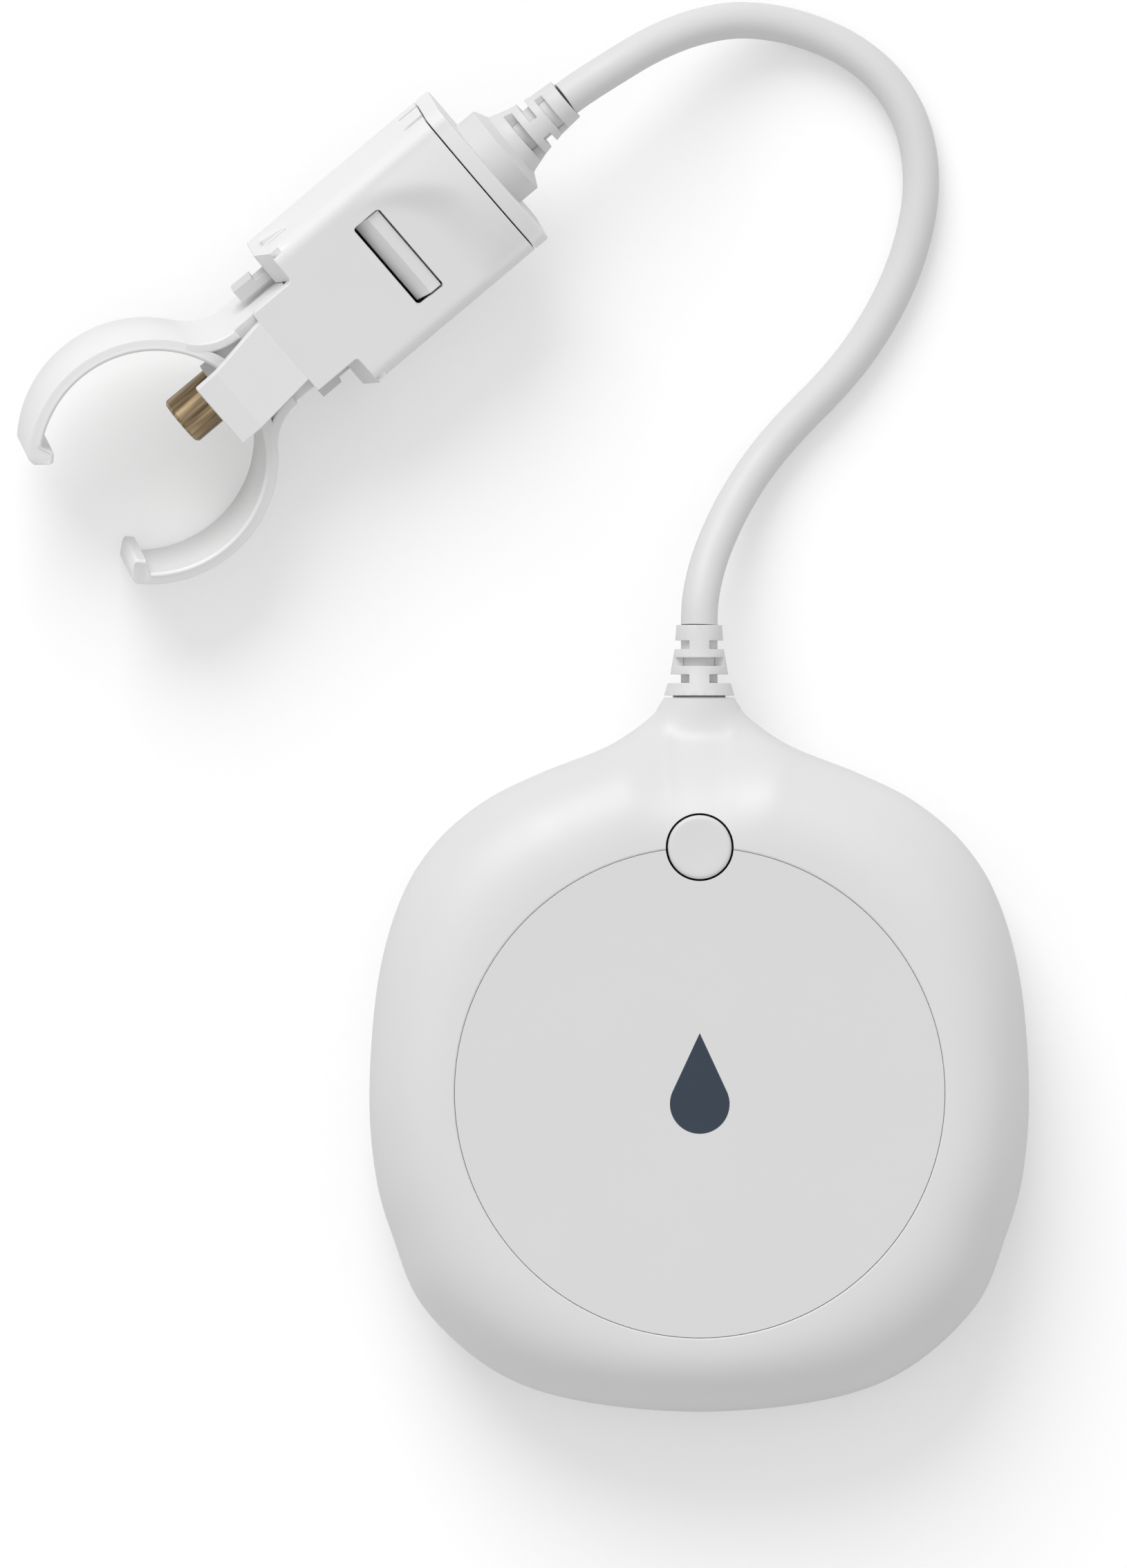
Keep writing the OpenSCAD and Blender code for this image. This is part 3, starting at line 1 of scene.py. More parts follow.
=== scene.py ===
# %% [markdown]
# # A water leak detector with a probe on a lead
#
# A round puck holds the cells, the board and the radio. A grey lead runs from its
# neck to a small probe head, and a snap clip holds that head on a pipe. Each cell
# below makes one piece or one finish, and says first what it is on the real thing.

# %% Load the frame
import json
from math import atan2, cos, degrees, pi, radians, sin, sqrt

import bmesh
import bpy
from mathutils import Matrix, Vector

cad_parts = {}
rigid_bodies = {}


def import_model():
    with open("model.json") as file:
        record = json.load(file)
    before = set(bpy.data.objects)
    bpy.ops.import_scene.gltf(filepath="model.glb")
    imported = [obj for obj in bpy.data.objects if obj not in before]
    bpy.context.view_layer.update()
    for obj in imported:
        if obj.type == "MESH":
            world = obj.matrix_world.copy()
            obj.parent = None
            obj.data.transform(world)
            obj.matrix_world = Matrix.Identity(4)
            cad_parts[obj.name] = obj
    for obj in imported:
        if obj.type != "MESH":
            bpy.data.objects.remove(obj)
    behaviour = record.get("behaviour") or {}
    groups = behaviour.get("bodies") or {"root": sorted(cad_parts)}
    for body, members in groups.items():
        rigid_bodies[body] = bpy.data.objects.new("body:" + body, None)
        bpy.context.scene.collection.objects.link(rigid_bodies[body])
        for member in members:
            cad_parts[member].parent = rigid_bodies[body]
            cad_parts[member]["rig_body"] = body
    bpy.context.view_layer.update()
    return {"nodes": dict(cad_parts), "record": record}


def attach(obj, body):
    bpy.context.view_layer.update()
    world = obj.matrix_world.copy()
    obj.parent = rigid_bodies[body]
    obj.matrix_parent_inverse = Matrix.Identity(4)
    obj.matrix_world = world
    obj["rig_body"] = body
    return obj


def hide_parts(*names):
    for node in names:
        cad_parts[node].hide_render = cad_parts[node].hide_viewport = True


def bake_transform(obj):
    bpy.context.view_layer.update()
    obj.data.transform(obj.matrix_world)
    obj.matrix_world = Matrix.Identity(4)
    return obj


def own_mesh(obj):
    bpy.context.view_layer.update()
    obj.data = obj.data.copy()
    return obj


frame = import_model()
MM = 0.001

# %% [markdown]
# ## Camera
#
# The photograph looks straight down from far away, so nothing shows perspective.
# A long lens, four metres up, gives the same flat look. The frame's height in
# millimetres decides the lens, and its middle says where the camera hangs.

# %% Camera
photo_h = 226.8
photo_middle = Vector((-19.63, 44.5, 0))
camera_height = 4000.0
focus_height = 12.0

lens_data = bpy.data.cameras.new("overhead_camera")
lens_data.sensor_width = 36
lens_data.lens = lens_data.sensor_width * (camera_height - focus_height) / photo_h
lens_data.clip_start = 0.5
lens_data.clip_end = 20
camera = bpy.data.objects.new("overhead_camera", lens_data)
camera.location = (photo_middle + Vector((0, 0, camera_height))) * MM
bpy.context.scene.collection.objects.link(camera)
bpy.context.scene.camera = camera
print("camera: lens", round(lens_data.lens), "mm")

# %% [markdown]
# ## Light
#
# The photograph was made under one large soft light behind the object, over a white
# table. A wide, low sun does the same. The sky above is bright and its rim is dark,
# so round things get a darker edge all round. Together they give level surfaces
# about the colour that their material names.

# %% Light
scene = bpy.context.scene
scene.view_settings.view_transform = "Standard"

sun_strength = 1.5
sun_spread = 40
sun_way = Vector((-0.24, 0.76, 0.60))
sky_low = 0.2
sky_high = 0.69
sky_reach = 0.4

sun_data = bpy.data.lights.new("soft_key", "SUN")
sun_data.energy = sun_strength
sun_data.angle = radians(sun_spread)
sun = bpy.data.objects.new("soft_key", sun_data)
sun.rotation_euler = sun_way.to_track_quat("Z", "Y").to_euler()
scene.collection.objects.link(sun)

world = bpy.data.worlds.new("even_world")
world.use_nodes = True
world.node_tree.nodes["Background"].inputs["Color"].default_value = (1, 1, 1, 1)
sky = world.node_tree.nodes
sky_links = world.node_tree.links
sky_height = sky.new("ShaderNodeSeparateXYZ")
sky_rise = sky.new("ShaderNodeMapRange")
sky_rise.interpolation_type = "SMOOTHSTEP"
for label, value in (("From Max", sky_reach), ("To Min", sky_low), ("To Max", sky_high)):
    sky_rise.inputs[label].default_value = value
sky_links.new(sky.new("ShaderNodeTexCoord").outputs["Generated"], sky_height.inputs["Vector"])
sky_links.new(sky_height.outputs["Z"], sky_rise.inputs["Value"])
sky_links.new(sky_rise.outputs["Result"], sky["Background"].inputs["Strength"])
scene.world = world
print("light: sun", sun_strength, "and a sky from", sky_low, "to", sky_high)

# %% [markdown]
# ## Places of the two assemblies
#
# The puck lies square in the frame. The head is turned round to meet its lead, and
# leans on the table with one edge of its ring, so it is tipped about all three axes.

# %% Where the head lies
head_middle = Vector((-32.45, 132.45, 15.5166))
head_turn = Matrix.Rotation(radians(-140), 4, "Z") @ Matrix.Rotation(radians(3), 4, "Y") \
    @ Matrix.Rotation(radians(-15), 4, "X")
head_place = Matrix.Translation(head_middle) @ head_turn
puck_place = Matrix.Identity(4)
head_tip_u = 17.12
relief_l = 10.2
puck_tip = Vector((0, 67.5, 12))
head_tip = head_place @ Vector((-head_tip_u, 0, 0))
print("head's lead end:", [round(x, 2) for x in head_tip])

# %% [markdown]
# ## Finishes
#
# Moulded plastic is never one flat colour. Its skin has a fine texture from the
# mould, its gloss wanders a little, and its tone drifts over the piece. One node
# group makes these three from noise in object space, and every plastic and rubber
# calls it with its own scale and strength.

# %% Noise helpers for shader groups
def new_group(name, inputs, outputs):
    group = bpy.data.node_groups.new(name, "ShaderNodeTree")
    for label, kind, value in inputs:
        socket = group.interface.new_socket(label, in_out="INPUT", socket_type=kind)
        socket.default_value = value
    for label, kind in outputs:
        group.interface.new_socket(label, in_out="OUTPUT", socket_type=kind)
    start = group.nodes.new("NodeGroupInput")
    end = group.nodes.new("NodeGroupOutput")
    return group, start, end


def noise_node(tree, place, scale, detail=3.0):
    node = tree.nodes.new("ShaderNodeTexNoise")
    node.inputs["Detail"].default_value = detail
    tree.links.new(place, node.inputs["Vector"])
    if isinstance(scale, bpy.types.NodeSocket):
        tree.links.new(scale, node.inputs["Scale"])
    else:
        node.inputs["Scale"].default_value = scale
    return node.outputs["Fac"]


def spread_node(tree, value, low, high):
    node = tree.nodes.new("ShaderNodeMapRange")
    tree.links.new(value, node.inputs["Value"])
    for label, end in (("To Min", low), ("To Max", high)):
        if isinstance(end, bpy.types.NodeSocket):
            tree.links.new(end, node.inputs[label])
        else:
            node.inputs[label].default_value = end
    node.inputs["From Min"].default_value = 0.3
    node.inputs["From Max"].default_value = 0.7
    return node.outputs["Result"]


def mix_node(tree, share, a, b):
    node = tree.nodes.new("ShaderNodeMix")
    node.data_type = "RGBA"
    tree.links.new(share, node.inputs["Factor"])
    tree.links.new(a, node.inputs["A"])
    tree.links.new(b, node.inputs["B"])
    return node.outputs["Result"]


# %% Shader group: moulded skin
colour_kind, number_kind = "NodeSocketColor", "NodeSocketFloat"
skin, skin_in, skin_out = new_group("moulded_skin", [
    ("Tone", colour_kind, (0.8, 0.8, 0.8, 1)), ("Shade", colour_kind, (0.7, 0.7, 0.7, 1)),
    ("Grain", number_kind, 3000.0), ("Gloss low", number_kind, 0.3),
    ("Gloss high", number_kind, 0.4)],
    [("Colour", colour_kind), ("Roughness", number_kind), ("Height", number_kind)])
skin_place = skin.nodes.new("ShaderNodeTexCoord").outputs["Object"]
drift = noise_node(skin, skin_place, 45.0, 4.0)
wander = noise_node(skin, skin_place, 260.0, 2.0)
pits = noise_node(skin, skin_place, skin_in.outputs["Grain"], 2.0)
skin.links.new(mix_node(skin, spread_node(skin, drift, 0.0, 1.0),
                        skin_in.outputs["Tone"], skin_in.outputs["Shade"]), skin_out.inputs["Colour"])
skin.links.new(spread_node(skin, wander, skin_in.outputs["Gloss low"], skin_in.outputs["Gloss high"]),
               skin_out.inputs["Roughness"])
skin.links.new(pits, skin_out.inputs["Height"])
print("group:", skin.name, len(skin.nodes), "nodes")


# %% A material from a group: its colour, its gloss and its relief
def group_material(name, group, values, gloss, bump):
    material = bpy.data.materials.new(name)
    material.use_nodes = True
    tree = material.node_tree
    shader = tree.nodes["Principled BSDF"]
    call = tree.nodes.new("ShaderNodeGroup")
    call.node_tree = group
    for label, value in (*values.items(), ("Gloss low", gloss[0]), ("Gloss high", gloss[1])):
        call.inputs[label].default_value = (*value, 1) if isinstance(value, tuple) else value
    relief = tree.nodes.new("ShaderNodeBump")
    relief.inputs["Strength"].default_value = bump[0]
    relief.inputs["Distance"].default_value = bump[1] * MM
    tree.links.new(call.outputs["Colour"], shader.inputs["Base Color"])
    tree.links.new(call.outputs["Roughness"], shader.inputs["Roughness"])
    tree.links.new(call.outputs["Height"], relief.inputs["Height"])
    tree.links.new(relief.outputs["Normal"], shader.inputs["Normal"])
    return material, shader


# %% The plastics and rubbers
coat_gloss = 0.4


def plastic(name, tone, shade, grain, gloss, bump, coat=0.0):
    values = {"Tone": tone, "Shade": shade, "Grain": grain}
    material, shader = group_material(name, skin, values, gloss, bump)
    shader.inputs["Coat Weight"].default_value = coat
    shader.inputs["Coat Roughness"].default_value = coat_gloss
    return material


def grey(value):
    linear = ((value / 255 + 0.055) / 1.055) ** 2.4
    return linear, linear, linear


finishes = {
    "gloss_shell": plastic("white_shell", grey(224), grey(222), 5200, (0.40, 0.48), (0.10, 0.01), 0.2),
    "satin_panel": plastic("satin_panel", grey(220), grey(219), 6500, (0.48, 0.56), (0.25, 0.02)),
    "satin_button": plastic("satin_button", grey(222), grey(221), 6500, (0.4, 0.48), (0.2, 0.02)),
    "white_plastic": plastic("white_moulding", grey(236), grey(234), 4200, (0.38, 0.46), (0.2, 0.02), 0.2),
    "grey_plastic": plastic("grey_moulding", grey(214), grey(209), 4200, (0.42, 0.5), (0.25, 0.02)),
    "cable_grey": plastic("grey_sheath", grey(221), grey(218), 3600, (0.42, 0.52), (0.3, 0.03)),
    "black_plastic": plastic("black_moulding", grey(44), grey(36), 4000, (0.4, 0.55), (0.3, 0.03)),
    "cream_plastic": plastic("cream_nylon", (0.78, 0.74, 0.64), (0.72, 0.67, 0.56), 4000,
                             (0.4, 0.5), (0.3, 0.03)),
    "board_green": plastic("green_resist", (0.02, 0.16, 0.06), (0.015, 0.12, 0.05), 2500,
                           (0.2, 0.3), (0.2, 0.02)),
    "board_blue": plastic("blue_resist", (0.02, 0.09, 0.24), (0.015, 0.07, 0.19), 2500,
                          (0.2, 0.3), (0.2, 0.02)),
    "cell_wrap": plastic("cell_wrap", (0.04, 0.12, 0.30), (0.03, 0.10, 0.25), 1500,
                         (0.22, 0.32), (0.1, 0.02)),
    "lead_red": plastic("red_lead", (0.45, 0.03, 0.03), (0.38, 0.02, 0.02), 3000,
                        (0.4, 0.5), (0.2, 0.02)),
    "led_white": plastic("cloudy_lens", (0.86, 0.82, 0.62), (0.80, 0.75, 0.52), 3000,
                         (0.2, 0.3), (0.1, 0.01)),
    "pad_foam": plastic("foam_pad", grey(205), grey(186), 1100, (0.85, 0.95), (0.9, 0.12)),
}
print("plastics:", len(finishes))

# %% [markdown]
# ## Metals
#
# Metal that is handled dulls in soft patches, and its gloss follows its tone. A
# second group makes the patches and a few fine scratches. Brass runs from warm gold
# to brown, and the plated screws, pin and springs from light to darker grey.

# %% Shader group: handled metal
metal, metal_in, metal_out = new_group("handled_metal", [
    ("Bright", colour_kind, (0.8, 0.7, 0.5, 1)), ("Dull", colour_kind, (0.4, 0.3, 0.2, 1)),
    ("Patch", number_kind, 300.0), ("Gloss low", number_kind, 0.2), ("Gloss high", number_kind, 0.4)],
    [("Colour", colour_kind), ("Roughness", number_kind), ("Height", number_kind)])
metal_place = metal.nodes.new("ShaderNodeTexCoord").outputs["Object"]
patches = spread_node(metal, noise_node(metal, metal_place, metal_in.outputs["Patch"], 5.0), 0.0, 1.0)
scratches = noise_node(metal, metal_place, 4200.0, 3.0)
metal.links.new(mix_node(metal, patches, metal_in.outputs["Bright"], metal_in.outputs["Dull"]),
                metal_out.inputs["Colour"])
metal.links.new(spread_node(metal, patches, metal_in.outputs["Gloss low"], metal_in.outputs["Gloss high"]),
                metal_out.inputs["Roughness"])
metal.links.new(scratches, metal_out.inputs["Height"])
print("group:", metal.name, len(metal.nodes), "nodes")


# %% The metals
scratch_bump = (0.12, 0.02)


def plated(name, bright, dull, patch, gloss):
    values = {"Bright": bright, "Dull": dull, "Patch": patch}
    material, shader = group_material(name, metal, values, gloss, scratch_bump)
    shader.inputs["Metallic"].default_value = 1.0
    return material


finishes["aged_brass"] = plated("dulled_brass", (0.44, 0.32, 0.18), (0.26, 0.17, 0.09), 520, (0.3, 0.42))
finishes["steel"] = plated("plated_steel", (0.58, 0.59, 0.6), (0.42, 0.42, 0.43), 400, (0.25, 0.4))
finishes["tin"] = plated("tinned_steel", (0.68, 0.68, 0.67), (0.55, 0.55, 0.54), 350, (0.3, 0.45))
print("metals:", *(finishes[slot].name for slot in ("aged_brass", "steel", "tin")))

# %% [markdown]
# The contact is turned brass, and bright streaks of painted reflection run along its
# axis over the brown. A Mapping node turns the noise into the head's frame and draws it
# out fourteen times along that axis, and the streaks mix a bright brass over the patches.

# %% Brass with painted reflection streaks
reflection_streak_stretch = 14
reflection_streak_scale = 1600.0
reflection_painted_brass = plated("brass_with_painted_reflections", (0.26, 0.18, 0.10), (0.12, 0.08, 0.045), 60, (0.22, 0.34))
tree = reflection_painted_brass.node_tree
call = next(node for node in tree.nodes if node.type == "GROUP")
shader = tree.nodes["Principled BSDF"]
head_frame = tree.nodes.new("ShaderNodeMapping")
head_frame.vector_type = "TEXTURE"
head_frame.inputs["Rotation"].default_value = head_turn.to_euler()
head_frame.inputs["Scale"].default_value = (reflection_streak_stretch, 1, 1)
tree.links.new(tree.nodes.new("ShaderNodeTexCoord").outputs["Object"], head_frame.inputs["Vector"])
painted_reflection_streaks = noise_node(tree, head_frame.outputs["Vector"], reflection_streak_scale, 2.0)
# the bright brass of the painted reflection streaks along the axis
bright = tree.nodes.new("ShaderNodeRGB")
bright.outputs[0].default_value = (0.50, 0.38, 0.23, 1)
with_painted_reflections = mix_node(tree, spread_node(tree, painted_reflection_streaks, 0.0, 1.0), call.outputs["Colour"], bright.outputs[0])
tree.links.new(with_painted_reflections, shader.inputs["Base Color"])
finishes["brass_with_painted_reflections"] = reflection_painted_brass
print("drawn brass:", len(tree.nodes), "nodes")

# %% [markdown]
# ## The lead
#
# The lead joins the two assemblies, so it is made first. It leaves the puck's strain
# relief level, sags to the table within a few diameters, runs round in one loose
# bend, and climbs into the head's relief. The route is a short list of given points,
# and a smooth curve runs through them.

# %% A smooth curve through points
def smooth_line(marks, steps):
    line = []
    for i in range(1, len(marks) - 2):
        a, b, c, d = marks[i - 1:i + 3]
        for k in range(steps):
            t = k / steps
            line.append(0.5 * (2 * b + (c - a) * t + (2 * a - 5 * b + 4 * c - d) * t ** 2
                               + (3 * b - a - 3 * c + d) * t ** 3))
    return line


# %% Lead
cable_d = 5.3
cable_route = [Vector(point) for point in [
    (0.3, 72, 11.4), (1.5, 77, 9.4), (3.8, 82.6, 6.8), (6.8, 88, 4.6), (10.4, 93, 3.2),
    (14.5, 97.6, 2.7), (18.8, 102, 2.7), (22.8, 106.8, 2.7), (26.2, 112, 2.7), (29, 117.6, 2.7),
    (31, 123.5, 2.7), (32.1, 129.7, 2.7), (31.9, 135.9, 2.7), (30.2, 141.7, 2.7),
    (26.9, 146.7, 2.7), (22.4, 150.5, 2.7), (17.1, 153.1, 3), (11.3, 154.7, 4.2),
    (5.2, 155.1, 6.4), (-0.8, 153.9, 9.4), (-6.4, 151.6, 12.4), (-11.7, 148.5, 15)]]
cable_marks = [puck_tip - Vector((0, relief_l, 0)), puck_tip, *cable_route, head_tip,
               head_place @ Vector((relief_l - head_tip_u, 0, 0))]
cable_line = [*smooth_line(cable_marks, 4), head_tip]

cable_curve = bpy.data.curves.new("sensor_lead", "CURVE")
cable_curve.dimensions = "3D"
strand = cable_curve.splines.new("POLY")
strand.points.add(len(cable_line) - 1)
for point, place in zip(strand.points, cable_line):
    point.co = (*(place * MM), 1)
strand.use_smooth = True
cable_curve.bevel_depth = cable_d / 2 * MM
cable_curve.bevel_resolution = 7
cable_curve.use_fill_caps = True
cable_curve.materials.append(finishes["cable_grey"])
cable = bpy.data.objects.new("sensor_lead", cable_curve)
scene.collection.objects.link(cable)
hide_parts("sensor_cable")
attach(cable, "root")

# %% [markdown]
# ## Tools for the meshes
#
# Every new piece starts as a bmesh in millimetres in the frame of its own assembly,
# the puck or the head. One helper carries it to its place in metres, gives it its
# finish, and hangs it on the body that moves it. Its object stays at the origin. A
# piece that is still to be cut is made with no place, and settled afterwards: in its
# own frame its flat sides stay exactly flat, which a Boolean needs.

# %% Helper: turn a bmesh into a finished piece
def make_piece(name, bm, body, slot, place=puck_place, instead_of=(), sharp=32, finish=None, even=False):
    if place:
        bmesh.ops.transform(bm, matrix=Matrix.Scale(MM, 4) @ place, verts=bm.verts)
    mesh = bpy.data.meshes.new(name)
    bm.to_mesh(mesh)
    bm.free()
    mesh.materials.append(finishes[finish or slot])
    mesh.shade_smooth()
    mesh.set_sharp_from_angle(angle=radians(sharp))
    piece = bpy.data.objects.new(name, mesh)
    scene.collection.objects.link(piece)
    if even:
        piece.modifiers.new("even", "WEIGHTED_NORMAL").keep_sharp = True
    if instead_of:
        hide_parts(*instead_of)
    if body:
        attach(piece, body)
    print(name + ":", len(mesh.polygons), "faces")
    return piece


def settle(piece, place):
    piece.data.transform(Matrix.Scale(MM, 4) @ place)
    print(piece.name, "is settled:", len(piece.data.polygons), "faces")


# %% Helper: a turned piece from its profile
def turned(profile, segments=96):
    bm = bmesh.new()
    verts = [bm.verts.new((r, 0, z)) for r, z in profile]
    edges = [bm.edges.new(pair) for pair in zip(verts, verts[1:])]
    bmesh.ops.spin(bm, geom=verts + edges, cent=(0, 0, 0), axis=(0, 0, 1), angle=2 * pi,
                   steps=segments, use_merge=True)
    bmesh.ops.remove_doubles(bm, verts=bm.verts, dist=0.001)
    bmesh.ops.recalc_face_normals(bm, faces=bm.faces)
    return bm


# %% Helper: a plate from its outline, with its upper edge rounded
def plate(outline, low, high, edge=0.0):
    bm = bmesh.new()
    base = bm.faces.new([bm.verts.new((x, y, low)) for x, y in outline])
    raised = bmesh.ops.extrude_face_region(bm, geom=[base])["geom"]
    top = [item for item in raised if isinstance(item, bmesh.types.BMVert)]
    bmesh.ops.translate(bm, verts=top, vec=(0, 0, high - low))
    bmesh.ops.recalc_face_normals(bm, faces=bm.faces)
    if edge:
        rim = [e for e in bm.edges if all(v in top for v in e.verts)]
        bmesh.ops.bevel(bm, geom=rim, offset=edge, affect="EDGES", segments=3,
                        profile=0.5, material=-1, clamp_overlap=True)
        top_face = max(bm.faces, key=lambda f: f.calc_area() * (f.normal.z > 0.99))
        bmesh.ops.inset_region(bm, faces=[top_face], thickness=0.03)
    return bm


# %% Helper: points along an arc
def arc(middle, r, start, end, count):
    return [(middle[0] + r * cos(start + (end - start) * i / count),
             middle[1] + r * sin(start + (end - start) * i / count)) for i in range(count + 1)]


# %% [markdown]
# Many small hard parts already have their right shape in the model, but their edges
# are knife sharp. Real mouldings have edges of a tenth of a millimetre or more,
# which catch the light. A copy of such a part is merged, its flat faces are joined,
# and every sharp edge gets a small round.

# %% Helper: round the edges of a copied part
sharp_corner = 28


def softened(node, edge, slot):
    source = frame["nodes"][node]
    body = source["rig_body"]
    bm = bmesh.new()
    bm.from_mesh(source.data)
    bmesh.ops.remove_doubles(bm, verts=bm.verts, dist=1e-6)
    bmesh.ops.dissolve_limit(bm, angle_limit=radians(0.6), verts=bm.verts, edges=bm.edges,
                             use_dissolve_boundaries=False)
    bmesh.ops.scale(bm, vec=(1 / MM,) * 3, verts=bm.verts)
    sharp = [e for e in bm.edges if e.is_manifold and e.calc_face_angle(0) > radians(sharp_corner)]
    bmesh.ops.bevel(bm, geom=sharp, offset=edge, affect="EDGES", segments=2,
                    profile=0.5, material=-1, clamp_overlap=True)
    return make_piece(node + "_finished", bm, body, slot, instead_of=(node,), even=True)


# %% [markdown]
# ## The puck's outline
#
# Seen from the front the puck is almost round. Towards the lead its sides draw in
# through a soft S curve to a slim neck. The outline is a few marks, each a share of
# the puck's half width and of its reach up or down, joined by the same smooth curve
# as the lead. The neck's end is a straight line from corner to corner.

# %% Outline of the puck
puck_w = 95.4
puck_below = 46.3
neck_y = 57.0
neck_r = 5.1
upper_shares = [(0.12, 0.982), (0.153, 0.947), (0.277, 0.877), (0.486, 0.807), (0.652, 0.737),
                (0.799, 0.632), (0.904, 0.491), (0.974, 0.28), (1, 0)]
lower_shares = [(0.981, 0.26), (0.93, 0.45), (0.838, 0.67), (0.629, 0.867), (0.377, 0.963)]


def puck_outline(steps=7, end_steps=14):
    upper = [Vector((x * puck_w / 2, y * neck_y)) for x, y in upper_shares]
    lower = [Vector((x * puck_w / 2, -y * puck_below)) for x, y in lower_shares]
    corner = Vector((neck_r, neck_y))
    bottom = Vector((0, -puck_below))
    past_bottom = Vector((-lower[-1].x, lower[-1].y))
    half = smooth_line([2 * corner - upper[0], corner, *upper, *lower, bottom, past_bottom], steps)
    mirrored = [Vector((-p.x, p.y)) for p in reversed(half[1:])]
    end = [Vector((-neck_r * cos(pi * k / end_steps), neck_y)) for k in range(1, end_steps)]
    return [*half, bottom, *mirrored, Vector((-neck_r, neck_y)), *end]


outline = puck_outline()
print("outline:", len(outline), "points")

# %% [markdown]
# ## The two shells
#
# Each shell is a shallow dome. Its section between the flat middle and the joint is a
# quarter of a full ellipse, so the wall leaves the joint upright and rolls over into
# the flat. At the neck the dome has to flow into a half round tube: the height there
# is a soft maximum of the two shapes, and in a sector round the neck the dome ends
# earlier, so a smooth saddle is left between them.

# %% Heights of the shells
puck_h = 27.0
joint_z = 12.0
panel_r = 35.3
recess_r = 35.35
dome_r = 35.65
recess_z = 25.0
back_share = 0.45
dome_power = 2.3
blend_power = 4
hold_power = 40

neck_start_y = 46.0
neck_full_y = 53.0
neck_sector = (3, 15)
neck_fade = 4
neck_dome_r = 54.5
neck_roundness = 0.8


def mix(a, b, t):
    return a + (b - a) * t


def ease(low, high, value):
    t = min(max((value - low) / (high - low), 0), 1)
    return t * t * (3 - 2 * t)


# %% Height of the tube at the neck
def half_width(y):
    for a, b in zip(outline, outline[1:]):
        if a.y >= y >= b.y:
            return mix(a.x, b.x, (a.y - y) / max(a.y - b.y, 1e-9))
    return puck_w / 2


def neck_height(x, y):
    if y < neck_start_y:
        return 0.0
    across = min(abs(x) / half_width(y), 1)
    return neck_r * sqrt(1 - across ** 2) * ease(neck_start_y, neck_full_y, y)


# %% A point of a shell
# share runs from the panel's rim (0) to the outline (1), and rise from the joint (0)
# to the flat (1). top is the height of the flat: above the joint or below it.
def dome_point(mark, share, rise, top):
    rim = mark.normalized() * dome_r
    flat = rim.lerp(mark, share)
    full = abs(top - joint_z)
    tube = neck_height(flat.x, flat.y)
    angle = degrees(abs(atan2(mark.x, mark.y)))
    towards_neck = 1 - ease(*neck_sector, angle)
    if towards_neck:
        held = (mark.length ** -hold_power + neck_dome_r ** -hold_power) ** (-1 / hold_power)
        bound = mix(mark.length, held, 1 - ease(neck_sector[1] - neck_fade, neck_sector[1], angle))
        level_share = 0 if top > joint_z else back_share
        out = (flat.length - dome_r) / (bound - dome_r)
        out = min(max((out - level_share) / (1 - level_share), 0), 1)
        dome_rise = (1 - out ** dome_power) ** (1 / dome_power)
        rise = mix(dome_rise, cos(out * pi / 2) ** neck_roundness, towards_neck)
    dome = full * max(rise, 0)
    height = min((dome ** blend_power + tube ** blend_power) ** (1 / blend_power), full)
    return Vector((flat.x, flat.y, joint_z + height * (1 if top > joint_z else -1)))


# %% [markdown]
# A shell grows ring by ring from one loop of edges, and every new ring is extruded
# from the one before. An integer on each vertex tells its place in the ring.

# %% Helper: grow a skin ring by ring
def grow_rings(rings):
    bm = bmesh.new()
    place_of = bm.verts.layers.int.new("place")
    first = [bm.verts.new(p) for p in rings[0]]
    for i, vert in enumerate(first):
        vert[place_of] = i
    edges = [bm.edges.new((first[i - 1], first[i])) for i in range(len(first))]
    for ring in rings[1:]:
        made = bmesh.ops.extrude_edge_only(bm, edges=edges)["geom"]
        fresh = {item for item in made if isinstance(item, bmesh.types.BMVert)}
        edges = [item for item in made if isinstance(item, bmesh.types.BMEdge)
                 and fresh.issuperset(item.verts)]
        for vert in fresh:
            vert.co = ring[vert[place_of]]
    return bm, edges


# %% Helper: a closed loft through rings
def first_loop(bm, last_edges):
    return [e for e in bm.edges if e.is_boundary and e not in last_edges]


def loft(rings):
    bm, last_edges = grow_rings(rings)
    bmesh.ops.contextual_create(bm, geom=first_loop(bm, last_edges))
    bmesh.ops.contextual_create(bm, geom=last_edges)
    bmesh.ops.recalc_face_normals(bm, faces=bm.faces)
    return bm


# %% Rings of a shell, outside and inside
shell_wall = 2.2
joint_gap = 0.12
first_rise = 0.012
cavity_stop = 11
quarter_steps = 22
quarter = [radians(90) * k / quarter_steps for k in range(quarter_steps + 1)]


def shell_rings(top, flat_share):
    rings = [[dome_point(p * (1 - joint_gap / p.length), 1, 0, top) for p in outline],
             [dome_point(p, 1, 0, top) + Vector((0, 0, joint_gap if top > joint_z else -joint_gap))
              for p in outline],
             [dome_point(p, 1, first_rise, top) for p in outline]]
    for angle in quarter[1:]:
        share, rise = max(cos(angle), 0) ** (2 / dome_power), sin(angle) ** (2 / dome_power)
        rings.append([dome_point(p, mix(flat_share, 1, share), rise, top) for p in outline])
    return rings


def inner_rings(top, ceiling, flat_share):
    rings = []
    for angle in reversed(quarter[::2]):
        ring = []
        for p in outline:
            inner = p * (1 - shell_wall / p.length)
            inner.y = min(inner.y, neck_y - cavity_stop)
            share = mix(flat_share, 1, cos(angle))
            flat = (p.normalized() * (dome_r - shell_wall)).lerp(inner, share)
            ring.append(Vector((flat.x, flat.y, mix(joint_z, ceiling, sin(angle)))))
        rings.append(ring)
    return rings


def circle_ring(r, z):
    return [Vector((*(p.normalized() * r), z)) for p in outline]


